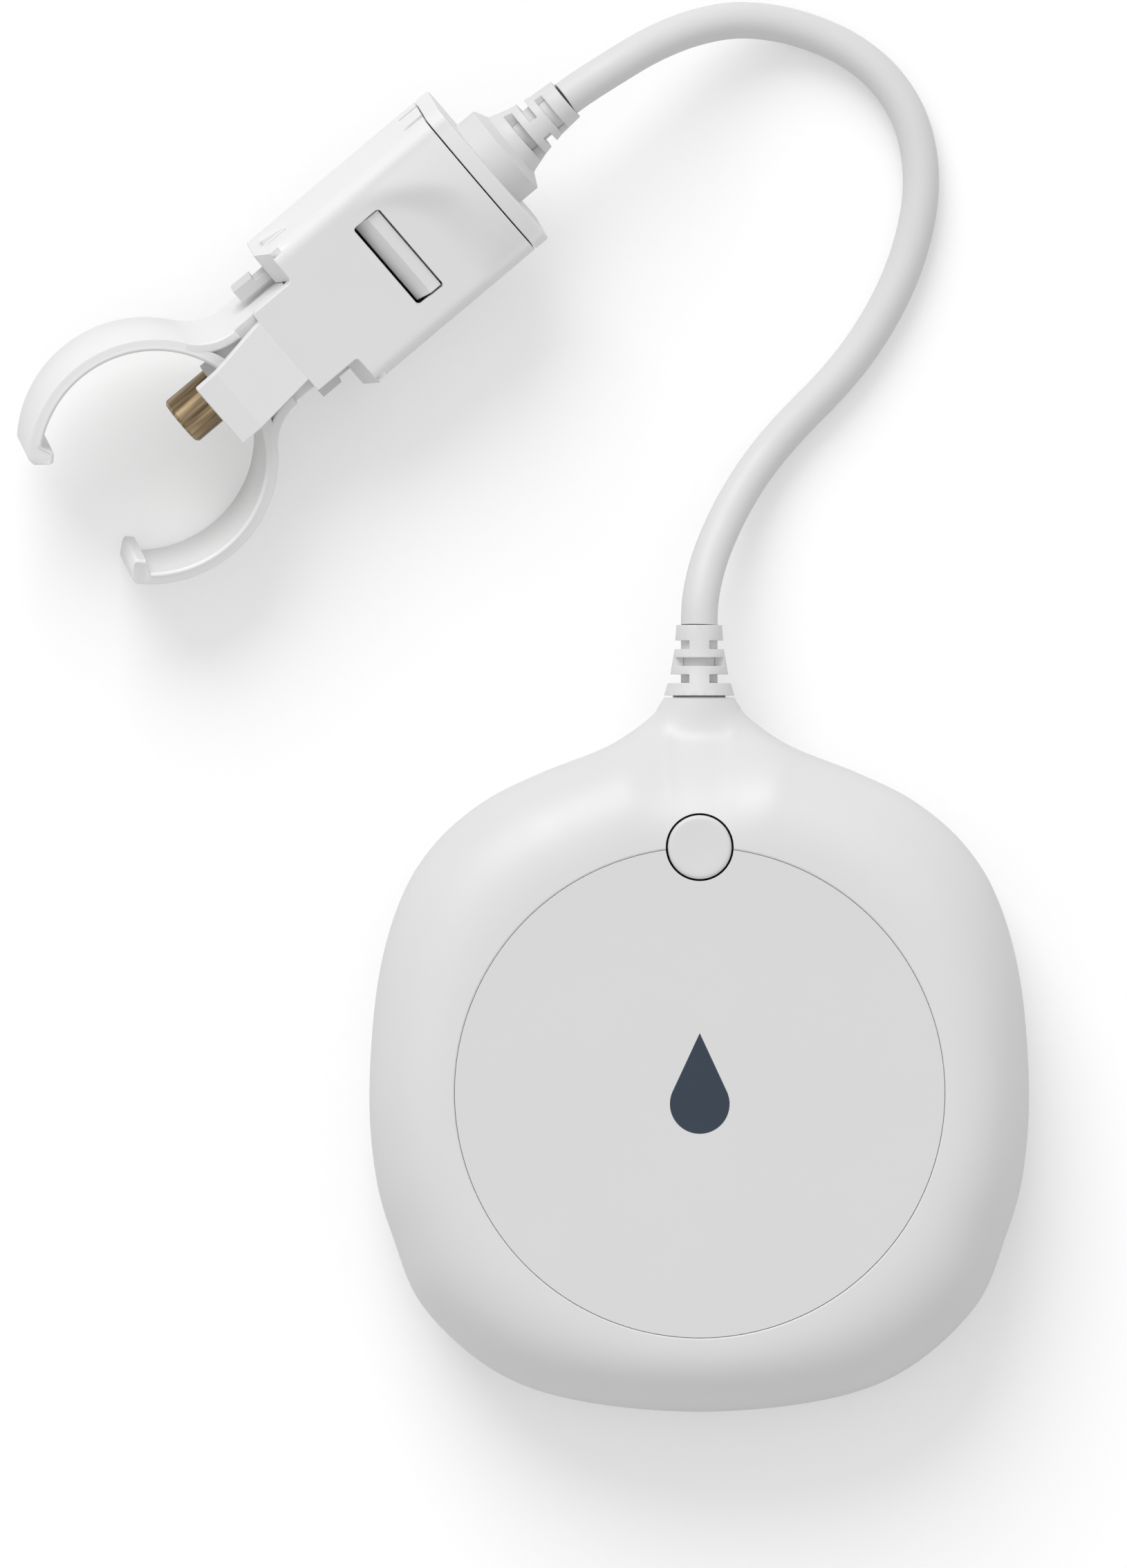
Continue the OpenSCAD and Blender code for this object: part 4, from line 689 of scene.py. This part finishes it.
def box_ring(half_x, half_y, z):
    ring = []
    for p in outline:
        reach = min(half_x / max(abs(p.x), 1e-6), half_y / max(abs(p.y), 1e-6))
        ring.append(Vector((p.x * reach, p.y * reach, z)))
    return ring


# %% [markdown]
# The front shell runs from the joint up over the dome, down into the panel's recess
# by a fine round, through the bay for the cells in its floor, and back under the
# dome to the joint. The first and the last ring are bridged there.

# %% Front shell
bay_half_l = 27.2
bay_half_w = 14.7
floor_t = 1.8
recess_round = [(0.25, 0), (0.08, 0.07), (0, 0.22)]
front_rings = [*shell_rings(puck_h, 0),
               *[circle_ring(recess_r + out, puck_h - down) for out, down in recess_round],
               circle_ring(recess_r, recess_z), box_ring(bay_half_l, bay_half_w, recess_z),
               box_ring(bay_half_l, bay_half_w, recess_z - floor_t),
               *inner_rings(puck_h, recess_z - floor_t, 0)]


def merge_loose(bm):
    bmesh.ops.remove_doubles(bm, verts=bm.verts, dist=0.0005)
    bmesh.ops.recalc_face_normals(bm, faces=bm.faces)


bm, last_edges = grow_rings(front_rings)
bmesh.ops.bridge_loops(bm, edges=first_loop(bm, last_edges) + last_edges)
merge_loose(bm)
front_shell = make_piece("front_shell", bm, "root", "gloss_shell", None, ("front_cover",), sharp=40)

# %% [markdown]
# A hole for the button goes through the dome's rim. A cutter is subtracted by a
# Boolean modifier that is applied right away, and then the cutter is deleted. The
# same helper joins one shape to another. A careful Boolean also sorts out faces of
# the piece itself that touch, such as an earlier join leaves. The two big shells do
# without, because it takes long on many faces.

# %% Helper: cut a piece, or join more to it
def combine(piece, other, operation, careful):
    if isinstance(other, bpy.types.Object):
        tool = other
        tool.parent = None
    else:
        tool = bpy.data.objects.new("tool", bpy.data.meshes.new("tool"))
        other.to_mesh(tool.data)
        other.free()
        scene.collection.objects.link(tool)
    even = piece.modifiers.get("even")
    if even:
        piece.modifiers.remove(even)
    boolean = piece.modifiers.new("combine", "BOOLEAN")
    boolean.operation = operation
    boolean.solver = "EXACT"
    boolean.use_self = careful
    boolean.object = tool
    bpy.context.view_layer.update()
    result = bpy.data.meshes.new_from_object(piece.evaluated_get(bpy.context.evaluated_depsgraph_get()))
    piece.modifiers.remove(boolean)
    old, used = piece.data, tool.data
    name = old.name
    piece.data = result
    bpy.data.meshes.remove(old)
    result.name = name
    bpy.data.objects.remove(tool)
    bpy.data.meshes.remove(used)
    if even:
        piece.modifiers.new("even", "WEIGHTED_NORMAL").keep_sharp = True


def cut(piece, other, careful=True):
    combine(piece, other, "DIFFERENCE", careful)


def join(piece, other):
    combine(piece, other, "UNION", careful=True)


# %% Helper: shapes for cutting
def turned_to(turn, bm):
    bmesh.ops.transform(bm, matrix=turn, verts=bm.verts)
    return bm


def rod(r, low, high, x=0.0, y=0.0, segments=96):
    bm = bmesh.new()
    bmesh.ops.create_cone(bm, cap_ends=True, segments=segments, radius1=r, radius2=r, depth=high - low)
    bmesh.ops.translate(bm, verts=bm.verts, vec=(x, y, (low + high) / 2))
    return bm


# %% Hole for the button
button_y = 35.4
button_r = 4.6
button_hole_r = 4.9
button_hole_z = 18
overrun = 2
cut(front_shell, rod(button_hole_r, button_hole_z, puck_h + overrun, 0, button_y), careful=False)
settle(front_shell, puck_place)

# %% [markdown]
# ## Rear shell
#
# The rear shell is the same kind of dome, turned over. It ends in a flat back that
# reaches almost halfway out to the rim, with a shallow round seat for the foam pad.

# %% Rear shell
pad_seat_r = 24.3
pad_seat_z = 1
back_t = 2
rear_rings = [*inner_rings(0, back_t, back_share), *shell_rings(0, back_share),
              circle_ring(pad_seat_r, 0), circle_ring(pad_seat_r, pad_seat_z)]
bm, last_edges = grow_rings(rear_rings)
bmesh.ops.contextual_create(bm, geom=last_edges)
bmesh.ops.contextual_create(bm, geom=[e for e in bm.edges if e.is_boundary])
merge_loose(bm)
rear_shell = make_piece("rear_shell", bm, "root", "gloss_shell", None, ("rear_cover",), sharp=40)

# %% Pockets for the cover's screws
cover_screw_x = 31.0
cover_screw_y = 25.0
pocket_r = 3.0
pocket_z = 3.0
four_corners = [(side_x, side_y) for side_x in (-1, 1) for side_y in (-1, 1)]
for side_x, side_y in four_corners:
    pocket = rod(pocket_r, -1, pocket_z, side_x * cover_screw_x, side_y * cover_screw_y, 48)
    cut(rear_shell, pocket, careful=False)
settle(rear_shell, puck_place)

# %% [markdown]
# ## Face panel
#
# The panel is a flat disc of satin plastic, with a round bite for the button. Its
# rim has a fine bevel, which draws the thin line round it. Four snap legs below
# hold it, and lift with it.

# %% Face panel
leg_size = (8, 1.2, 3)
leg_x = 15
leg_y = 14
bite_y = (panel_r ** 2 - button_hole_r ** 2 + button_y ** 2) / (2 * button_y)
bite_x = sqrt(panel_r ** 2 - bite_y ** 2)
disc_start = atan2(bite_y, -bite_x)
disc_end = atan2(bite_y, bite_x) + 2 * pi
bite_start = atan2(bite_y - button_y, bite_x)
bite_end = atan2(bite_y - button_y, -bite_x)
panel_outline = [*arc((0, 0), panel_r, disc_start, disc_end, 220)[:-1],
                 *arc((0, button_y), button_hole_r, bite_start, bite_end, 40)[:-1]]
bm = plate(panel_outline, recess_z, puck_h, edge=0.06)
for side_x, side_y in four_corners:
    leg = bmesh.ops.create_cube(bm, size=1)["verts"]
    bmesh.ops.scale(bm, vec=leg_size, verts=leg)
    leg_place = (side_x * leg_x, side_y * leg_y, recess_z - leg_size[2] / 2)
    bmesh.ops.translate(bm, vec=leg_place, verts=leg)
make_piece("face_disc", bm, "panel", "satin_panel", instead_of=("face_panel",))

# %% [markdown]
# ## Button
#
# The test button is a small round cap that stands level with the panel. Its edge is
# rounded and its top dips a little, so a finger finds it. A flange under the cover
# keeps it from falling out. The whole cap is one profile, spun round its axis.

# %% Button
dish = 0.12
flange_z = 18.25
flange_t = 1
flange_r = 5.9
button_top = [(0, dish), (1.6, dish * 0.86), (3.0, dish * 0.4), (3.9, 0.01), (4.18, 0.03),
              (4.38, 0.11), (4.53, 0.24), (button_r, 0.45)]
bm = turned([*[(r, puck_h - down) for r, down in button_top], (button_r, flange_z + flange_t),
             (flange_r, flange_z + flange_t), (flange_r, flange_z), (0, flange_z)])
bmesh.ops.translate(bm, verts=bm.verts, vec=(0, button_y, 0))
make_piece("test_button", bm, "button", "satin_button", instead_of=("button_cap",))

# %% [markdown]
# ## Printed drop
#
# The panel carries a plain water drop, printed in dark blue ink. The ink is a film
# of a few hundredths of a millimetre: a round bottom, and two straight sides that
# touch it and meet in a point.

# %% Printed drop
drop_r = 4.3
drop_middle = (0, -1.6)
drop_tip_y = 8.6
ink_low = 0.002
ink_high = 0.03
reach = drop_tip_y - drop_middle[1]
touch = atan2(drop_r, sqrt(reach ** 2 - drop_r ** 2))
finishes["ink"] = plastic("navy_ink", (0.024, 0.042, 0.066), (0.018, 0.033, 0.055), 5200,
                          (0.38, 0.46), (0.15, 0.02))
drop_outline = [*arc(drop_middle, drop_r, pi - touch, 2 * pi + touch, 64), (0, drop_tip_y)]
bm = plate(drop_outline, puck_h + ink_low, puck_h + ink_high)
make_piece("printed_drop", bm, "panel", "satin_panel", finish="ink")

# %% [markdown]
# ## Head housing
#
# The head is a short square tube that lies on its side. Its long edges have a generous
# round. Towards the cap its top swells to a low crown, and a soft arched slope leads
# from that crown down to the window, where a thumb finds the latch. The housing is a
# loft of sections along the head's own axis. The hollow is cut out of it, and the
# ledge, the tongue, the nose and two small ramps are joined to it.

# %% Sections of the head
head_w = 25.2
head_h = 16.6
head_edge_r = 2.2
head_l = 29.7
crown_h = 1.6
crown_r = 34.6
crown_half = head_w / 2 - head_edge_r
slope_start = 1.6
slope_l = 7.2
slope_bend_left = 0.09
slope_bend_right = 0.02
round_steps = 8
crown_steps = 15


def crown_height(u, v):
    if abs(v) >= crown_half:
        return 0.0
    arched = crown_h - crown_r + sqrt(crown_r ** 2 - v ** 2)
    start = slope_start + (slope_bend_left if v < 0 else slope_bend_right) * v * v
    return arched * (1 - ease(start, start + slope_l, u))


def head_section(u, inset=0.0, top=None):
    half_w, half_h, r = head_w / 2 - inset, head_h / 2 - inset, head_edge_r - inset
    points = arc((half_w - r, r - half_h), r, -pi / 2, 0, round_steps)
    if top is None:
        points += arc((half_w - r, half_h - r), r, 0, pi / 2, round_steps)
        across = [crown_half * (1 - k / crown_steps) for k in range(1, 2 * crown_steps)]
        points += [(v, half_h + crown_height(u, v)) for v in across]
        points += arc((r - half_w, half_h - r), r, pi / 2, pi, round_steps)
    else:
        points += [(half_w, top - inset), (-half_w, top - inset)]
    points += arc((r - half_w, r - half_h), r, pi, 3 * pi / 2, round_steps)
    return [Vector((u, v, w)) for v, w in points]


# %% Helper: a box between two corners
def box(low, high):
    bm = bmesh.new()
    verts = bmesh.ops.create_cube(bm, size=1)["verts"]
    bmesh.ops.scale(bm, vec=[b - a for a, b in zip(low, high)], verts=verts)
    bmesh.ops.translate(bm, vec=[(a + b) / 2 for a, b in zip(low, high)], verts=verts)
    return bm


# %% Helper: an outline with rounded corners
# r is one radius for all corners, or a list with a radius for each.
def rounded(corners, r, count=6):
    outline = []
    for i, corner in enumerate(corners):
        here = Vector(corner)
        back = (Vector(corners[i - 1]) - here).normalized()
        ahead = (Vector(corners[(i + 1) % len(corners)]) - here).normalized()
        radius = r[i] if isinstance(r, (list, tuple)) else r
        if not radius:
            outline.append(tuple(here))
            continue
        half = back.angle(ahead) / 2
        middle = here + (back + ahead).normalized() * radius / sin(half)
        start = here + back * radius * cos(half) / sin(half) - middle
        turn = (pi - 2 * half) * (1 if back.cross(ahead) < 0 else -1)
        outline += [tuple(middle + Matrix.Rotation(turn * k / count, 2) @ start)
                    for k in range(count + 1)]
    return outline


# %% Head housing
edge = 0.18
hollow_half_w = 11.2
hollow_half_h = 6.9
slope_stations = [2.4 + 0.7 * k for k in range(24)]
rings = [head_section(0.05, edge), head_section(0.1, 0.05), head_section(edge + 0.05),
         *[head_section(u) for u in (1, 1.7, *slope_stations, 22, 26)],
         head_section(head_l - edge), head_section(head_l - 0.05, 0.05), head_section(head_l, edge)]
housing = make_piece("probe_housing", loft(rings), "root", "white_plastic", None, ("head_housing",),
                     sharp=14, even=True)
cut(housing, box((-1, -hollow_half_w, -hollow_half_h), (33, hollow_half_w, hollow_half_h)))

# %% [markdown]
# Below the tongue the housing runs on as a ledge of two cheeks, one on each side of
# the stem. Its walls stay a fiftieth of a millimetre inside the housing's, so the
# Boolean that joins them meets no two walls in one plane.

# %% Ledge
ledge_start = 28
ledge_end = 31.8
ledge_root = 7.9
ledge_top = 2.6
ledge_inset = 0.02
ledge_hollow = (11.22, 6.88)
ledge_roof = 2.3
stem_gap_half = 7.4
ledge = make_piece("front_ledge", loft([
    head_section(ledge_start, ledge_inset, ledge_root),
    head_section(head_l - 0.2, ledge_inset, ledge_root),
    head_section(ledge_end - edge, ledge_inset, ledge_top),
    head_section(ledge_end, edge, ledge_top)]), "root", "white_plastic", None)
cut(ledge, box((27, -ledge_hollow[0], -ledge_hollow[1]), (33, ledge_hollow[0], ledge_roof)))
cut(ledge, box((27, -stem_gap_half, -12), (33, stem_gap_half, 12)))
join(housing, ledge)

# %% Tongue
tongue_end = 37.1
tongue_half = 7.5
tongue_root = head_l - 0.7
tongue_root_half = 9
tongue_front = head_l + 0.02
tongue_low = 6.5
tongue_high = head_h / 2 + 0.005
tongue_corners = [(tongue_root, -tongue_root_half), (tongue_front, -tongue_root_half),
                  (tongue_front, -tongue_half), (tongue_end, -tongue_half), (tongue_end, tongue_half),
                  (tongue_front, tongue_half), (tongue_front, tongue_root_half),
                  (tongue_root, tongue_root_half)]
tongue_outline = rounded(tongue_corners, [0, 0, 0.7, 0.7, 0.3, 0.5, 0, 0])
join(housing, plate(tongue_outline, tongue_low, tongue_high, edge=0.16))

# %% [markdown]
# The nose is the ramp that shields the contact. It is a loft of small sections with
# rounded upper edges, which climb along a line of marks: how far along the head, and
# how far above its top. One side flares where it meets the tongue.

# %% Nose
nose_half = 5.3
nose_t = 1.5
nose_tip_inset = 0.12
nose_tip_thin = 0.3
nose_flare = 1.3
nose_flare_span = (36.6, 38.4)
nose_line = [(35.6, -0.2), (36.95, -0.06), (37.3, 0.08), (46.4, 3.9), (49.95, 4.29), (50.1, 4.15)]
nose_edge = [(0, 0.15), (0.04, 0.05), (0.15, 0)]
nose_rings = []
for u, rise in nose_line:
    last = u == nose_line[-1][0]
    right = nose_half - (nose_tip_inset if last else 0)
    left = right + nose_flare * (1 - ease(*nose_flare_span, u)) ** 2
    high = head_h / 2 + rise
    low = high - nose_t + (nose_tip_thin if last else 0)
    section = [(right, low), *[(right - across, high - down) for across, down in nose_edge],
               *[(across - left, high - down) for across, down in reversed(nose_edge)], (-left, low)]
    nose_rings.append([Vector((u, v, w)) for v, w in section])
join(housing, loft(nose_rings))

# %% [markdown]
# A thin ramp stands on each flank near the front. The window over the latch and the
# short slots in the upper left flank are cuts.

# %% Ramps on the flanks
ramp_start = 25.1
ramp_end = head_l - 0.02
ramp_h = 0.8
ramp_half = 1.2
for side in (-1, 1):
    ramp = [(ramp_start, 12.3 * side), (ramp_end, 12.3 * side), (ramp_end, (12.6 + ramp_h) * side),
            (ramp_start, 12.6 * side)]
    join(housing, plate(ramp[::side], -ramp_half, ramp_half, edge=0.1))

# %% Window
window_u = 13.3
window_l = 4.8
window_half = 7.57
window_corners = [(window_u, -window_half), (window_u + window_l, -window_half),
                  (window_u + window_l, window_half), (window_u, window_half)]
cut(housing, plate(rounded(window_corners, 0.6), 6, 12))

# %% Slots in the flank
# On the flank a plate's heights are depths across the head: low is the floor of the cut.
side_on = Matrix.Rotation(pi / 2, 4, "X")
slot_floor = 11.7
slot_end = 3.4
rib_floor = 12.2
outside = 13
for middle_w, r in ((3, 0.75), (-3.6, 0.3)):
    slot = [(-1, middle_w - r), (slot_end, middle_w - r), (slot_end, middle_w + r), (-1, middle_w + r)]
    slot_cutter = plate(rounded(slot, [0, r * 0.98, r * 0.98, 0]), slot_floor, outside)
    cut(housing, turned_to(side_on, slot_cutter))
rib = [(25.6, 2.2), (29.2, 2.2), (29.2, 2.6), (25.6, 2.6)]
cut(housing, turned_to(side_on, plate(rounded(rib, 0.19), rib_floor, outside)))
settle(housing, head_place)

# %% [markdown]
# ## Head cap
#
# The cap closes the tube behind. It has the same section as the housing, crown and
# all, and a hair of a gap is left between the two.

# %% Head cap
seam = 0.12
cap_t = 2.4
cap_edge = 0.35
throat_r = 4.0
cap_end = -seam - cap_t
cap_profile = [(cap_end, cap_edge), (cap_end + 0.1, cap_edge * 0.3), (cap_end + cap_edge, 0),
               (-seam - 0.12, 0), (-seam - 0.04, 0.08)]
cap_rings = [[Vector((u, p.y, p.z)) for p in head_section(0, inset)] for u, inset in cap_profile]
cap = make_piece("rear_cap", loft(cap_rings), "root", "white_plastic", None, ("head_cap",),
                 sharp=30, even=True)
along = Matrix.Rotation(pi / 2, 4, "Y")
cut(cap, turned_to(along, rod(throat_r, -4, 1, segments=48)))
settle(cap, head_place)

# %% [markdown]
# ## The clip
#
# The clip is one C of stiff, springy plastic. Each half of the ring is grown as one
# run of sections from the back round to its tip, where it turns inwards as a lip. A
# fine bead runs along the inner rim. When the clip opens, a half bends where it
# leaves the stem.

# %% Half of the ring
ring_u = 61.9
ring_r = 16.4
ring_out_r = 18.2
ring_half = 7.7
face_sink = 0.12
lip_r = 14.5
mouth_angle = 39.7
lip_end = 46.7


def ring_section(angle, r_in, r_out, inset=0.0):
    low, high = inset - ring_half, ring_half - inset
    lower_edges = [(r_in + inset, low + 0.2), (r_in + inset + 0.2, low), (r_out - 0.4, low),
                   (r_out - 0.1, low + 0.1), (r_out - inset, low + 0.4)]
    outer_edge = [(r_out - inset, high - 0.5), (r_out - 0.1, high - 0.22), (r_out - 0.4, high - face_sink)]
    bead = [(r_in + 0.72, high - face_sink), (r_in + 0.6, high - 0.05), (r_in + 0.42, high),
            (r_in + 0.25, high - 0.04), (r_in + inset, high - 0.3)]
    return [Vector((ring_u + r * cos(angle), r * sin(angle), w))
            for r, w in (*lower_edges, *outer_edge, *bead)]


def half_ring(side):
    rings = []
    back = range(180, 56, -3)
    lip_turn = range(56, 41, -1)
    for angle in (*back, *lip_turn, 41.2, 40.6, 40.1, 39.85, mouth_angle):
        lip = 1 - ease(lip_end - 0.8, lip_end + 2.2, angle)
        ending = 1 - ease(mouth_angle, mouth_angle + 1.7, angle)
        r_in = mix(ring_r, lip_r, lip) + 0.35 * ending ** 2
        r_out = ring_out_r - 0.95 * (1 - ease(mouth_angle - 1, mouth_angle + 3.4, angle))
        inset = 0.22 * (1 - ease(mouth_angle - 0.3, mouth_angle + 0.6, angle))
        rings.append(ring_section(side * radians(angle), r_in, r_out, inset))
    return loft(rings)


# %% The two halves
snout_gap_r = 4.6
for side, name, node, body in ((-1, "upper_ring_half", "upper_arm", "arm_up"),
                               (1, "lower_ring_half", "lower_arm", "arm_low")):
    half = make_piece(name, half_ring(side), None, "white_plastic", None, (node,), sharp=35)
    cut(half, turned_to(along, rod(snout_gap_r, 40, 48, segments=64)))
    settle(half, head_place)
    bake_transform(half)

# %% [markdown]
# The stem joins the ring to the head. Its flanks sweep into the ring in two wide
# fillets. Its web lies lower than the ring's rim, and a raised band follows each
# fillet. Its back lies a little inside the ring, so no gap shows.

# %% Stem
stem_u = 31.0
stem_half = 7.2
stem_top = 6.2
stem_fillet = 8.0
stem_sink = 0.9
band_w = 1.5
band_low = 5.5
band_high = ring_half - 0.1
fillet_v = stem_half + stem_fillet
fillet_u = ring_u - sqrt((ring_out_r + stem_fillet) ** 2 - fillet_v ** 2)
touch_turn = atan2(-fillet_v, ring_u - fillet_u)
flank = arc((fillet_u, fillet_v), stem_fillet, -pi / 2, touch_turn, 14)
band_edge = arc((fillet_u, fillet_v), stem_fillet + band_w, touch_turn, -pi / 2, 14)
back_turn = pi + touch_turn
stem_outline = [(stem_u, stem_half), (stem_u, -stem_half), *[(u, -v) for u, v in flank],
                *arc((ring_u, 0), ring_out_r - stem_sink, -back_turn, -2 * pi + back_turn, 30),
                *reversed(flank)]
stem = make_piece("clip_stem", plate(stem_outline, -ring_half, stem_top, edge=0.3), "root",
                  "white_plastic", None, ("clip_base",), sharp=30, even=True)
for side in (-1, 1):
    band = [(u, side * v) for u, v in (*flank, *band_edge)]
    join(stem, plate(band[::side], band_low, band_high, edge=0.3))
cut(stem, turned_to(along, rod(snout_gap_r, 20, 60, segments=64)))
settle(stem, head_place)

# %% [markdown]
# ## Brass contact
#
# The contact is a turned brass slug that presses on the pipe. Its profile, with a
# fine bevel at the end, is spun round the head's axis.

# %% Brass contact
contact_r = 3.75
contact_u = 55.6
contact_edge = 0.45
contact_back = 30.0
bevel_r = contact_r - contact_edge
bm = turned([(0, contact_u), (bevel_r - 0.1, contact_u), (bevel_r, contact_u - 0.02),
             (contact_r - 0.12, contact_u - 0.3), (contact_r, contact_u - contact_edge),
             (contact_r, contact_back), (0, contact_back)])
# its finish carries the painted reflection streaks along the axis
make_piece("contact_slug", bm, "probe", "aged_brass", head_place @ along, ("brass_contact",),
           sharp=30, finish="brass_with_painted_reflections")
print("contact stands out to", contact_u, "mm")

# %% [markdown]
# Behind the contact stands a cone spring. It has to shorten when the pipe pushes the
# contact in. Its copy keeps the model's shape.

# %% Spring behind the contact
bm = bmesh.new()
bm.from_mesh(frame["nodes"]["contact_spring"].data)
bmesh.ops.scale(bm, vec=(1 / MM,) * 3, verts=bm.verts)
spring = make_piece("pressed_spring", bm, "root", "steel", instead_of=("contact_spring",))
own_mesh(spring)

# %% [markdown]
# ## Hard parts with softened edges
#
# These parts keep the model's shape, and only their edges are rounded.

# %% Softened parts of the puck and the head
softened_parts = {"puck_strain_relief": 0.12, "head_strain_relief": 0.12, "sensor_carrier": 0.15,
                  "release_latch": 0.12}
slot_of = {part["node"]: part["material_slot"] for part in frame["record"]["subparts"]}
for node, edge_r in softened_parts.items():
    softened(node, edge_r, slot_of[node])

# %% [markdown]
# ## Parts that stay as they are
#
# The inner parts keep the model's own meshes. Each takes the finish of its slot.

# %% Finishes of the inner parts
for node, part in frame["nodes"].items():
    part.data.materials.clear()
    part.data.materials.append(finishes[slot_of[node]])
print("inner parts:", sum(1 for part in frame["nodes"].values() if not part.hide_render))

# %% [markdown]
# ## The table
#
# The table is white. Its own colour is just under white, and a little light that
# only the camera sees lifts it the rest of the way, so the shadow stays. From below
# it is clear, so a view from there shows the object's underside.

# %% Table
table_colour = (0.86, 0.86, 0.86, 1)
table_lift = 0.20
table_half = 3
table_material = bpy.data.materials.new("white_table")
table_material.use_nodes = True
tree = table_material.node_tree
table_shader = tree.nodes["Principled BSDF"]
table_shader.inputs["Base Color"].default_value = table_colour
table_shader.inputs["Roughness"].default_value = 0.8
table_shader.inputs["Specular IOR Level"].default_value = 0.1
table_shader.inputs["Emission Color"].default_value = (1, 1, 1, 1)
lift = tree.nodes.new("ShaderNodeMath")
lift.operation = "MULTIPLY"
lift.inputs[1].default_value = table_lift
tree.links.new(tree.nodes.new("ShaderNodeLightPath").outputs["Is Camera Ray"], lift.inputs[0])
tree.links.new(lift.outputs["Value"], table_shader.inputs["Emission Strength"])

clear = tree.nodes.new("ShaderNodeBsdfTransparent")
from_below = tree.nodes.new("ShaderNodeMixShader")
tree.links.new(tree.nodes.new("ShaderNodeNewGeometry").outputs["Backfacing"], from_below.inputs["Fac"])
tree.links.new(table_shader.outputs["BSDF"], from_below.inputs[1])
tree.links.new(clear.outputs["BSDF"], from_below.inputs[2])
tree.links.new(from_below.outputs["Shader"], tree.nodes["Material Output"].inputs["Surface"])

bm = bmesh.new()
bmesh.ops.create_grid(bm, x_segments=1, y_segments=1, size=table_half)
table_mesh = bpy.data.meshes.new("table_top")
bm.to_mesh(table_mesh)
bm.free()
table_mesh.materials.append(table_material)
table = bpy.data.objects.new("table_top", table_mesh)
scene.collection.objects.link(table)
print("table:", 2 * table_half, "m wide")
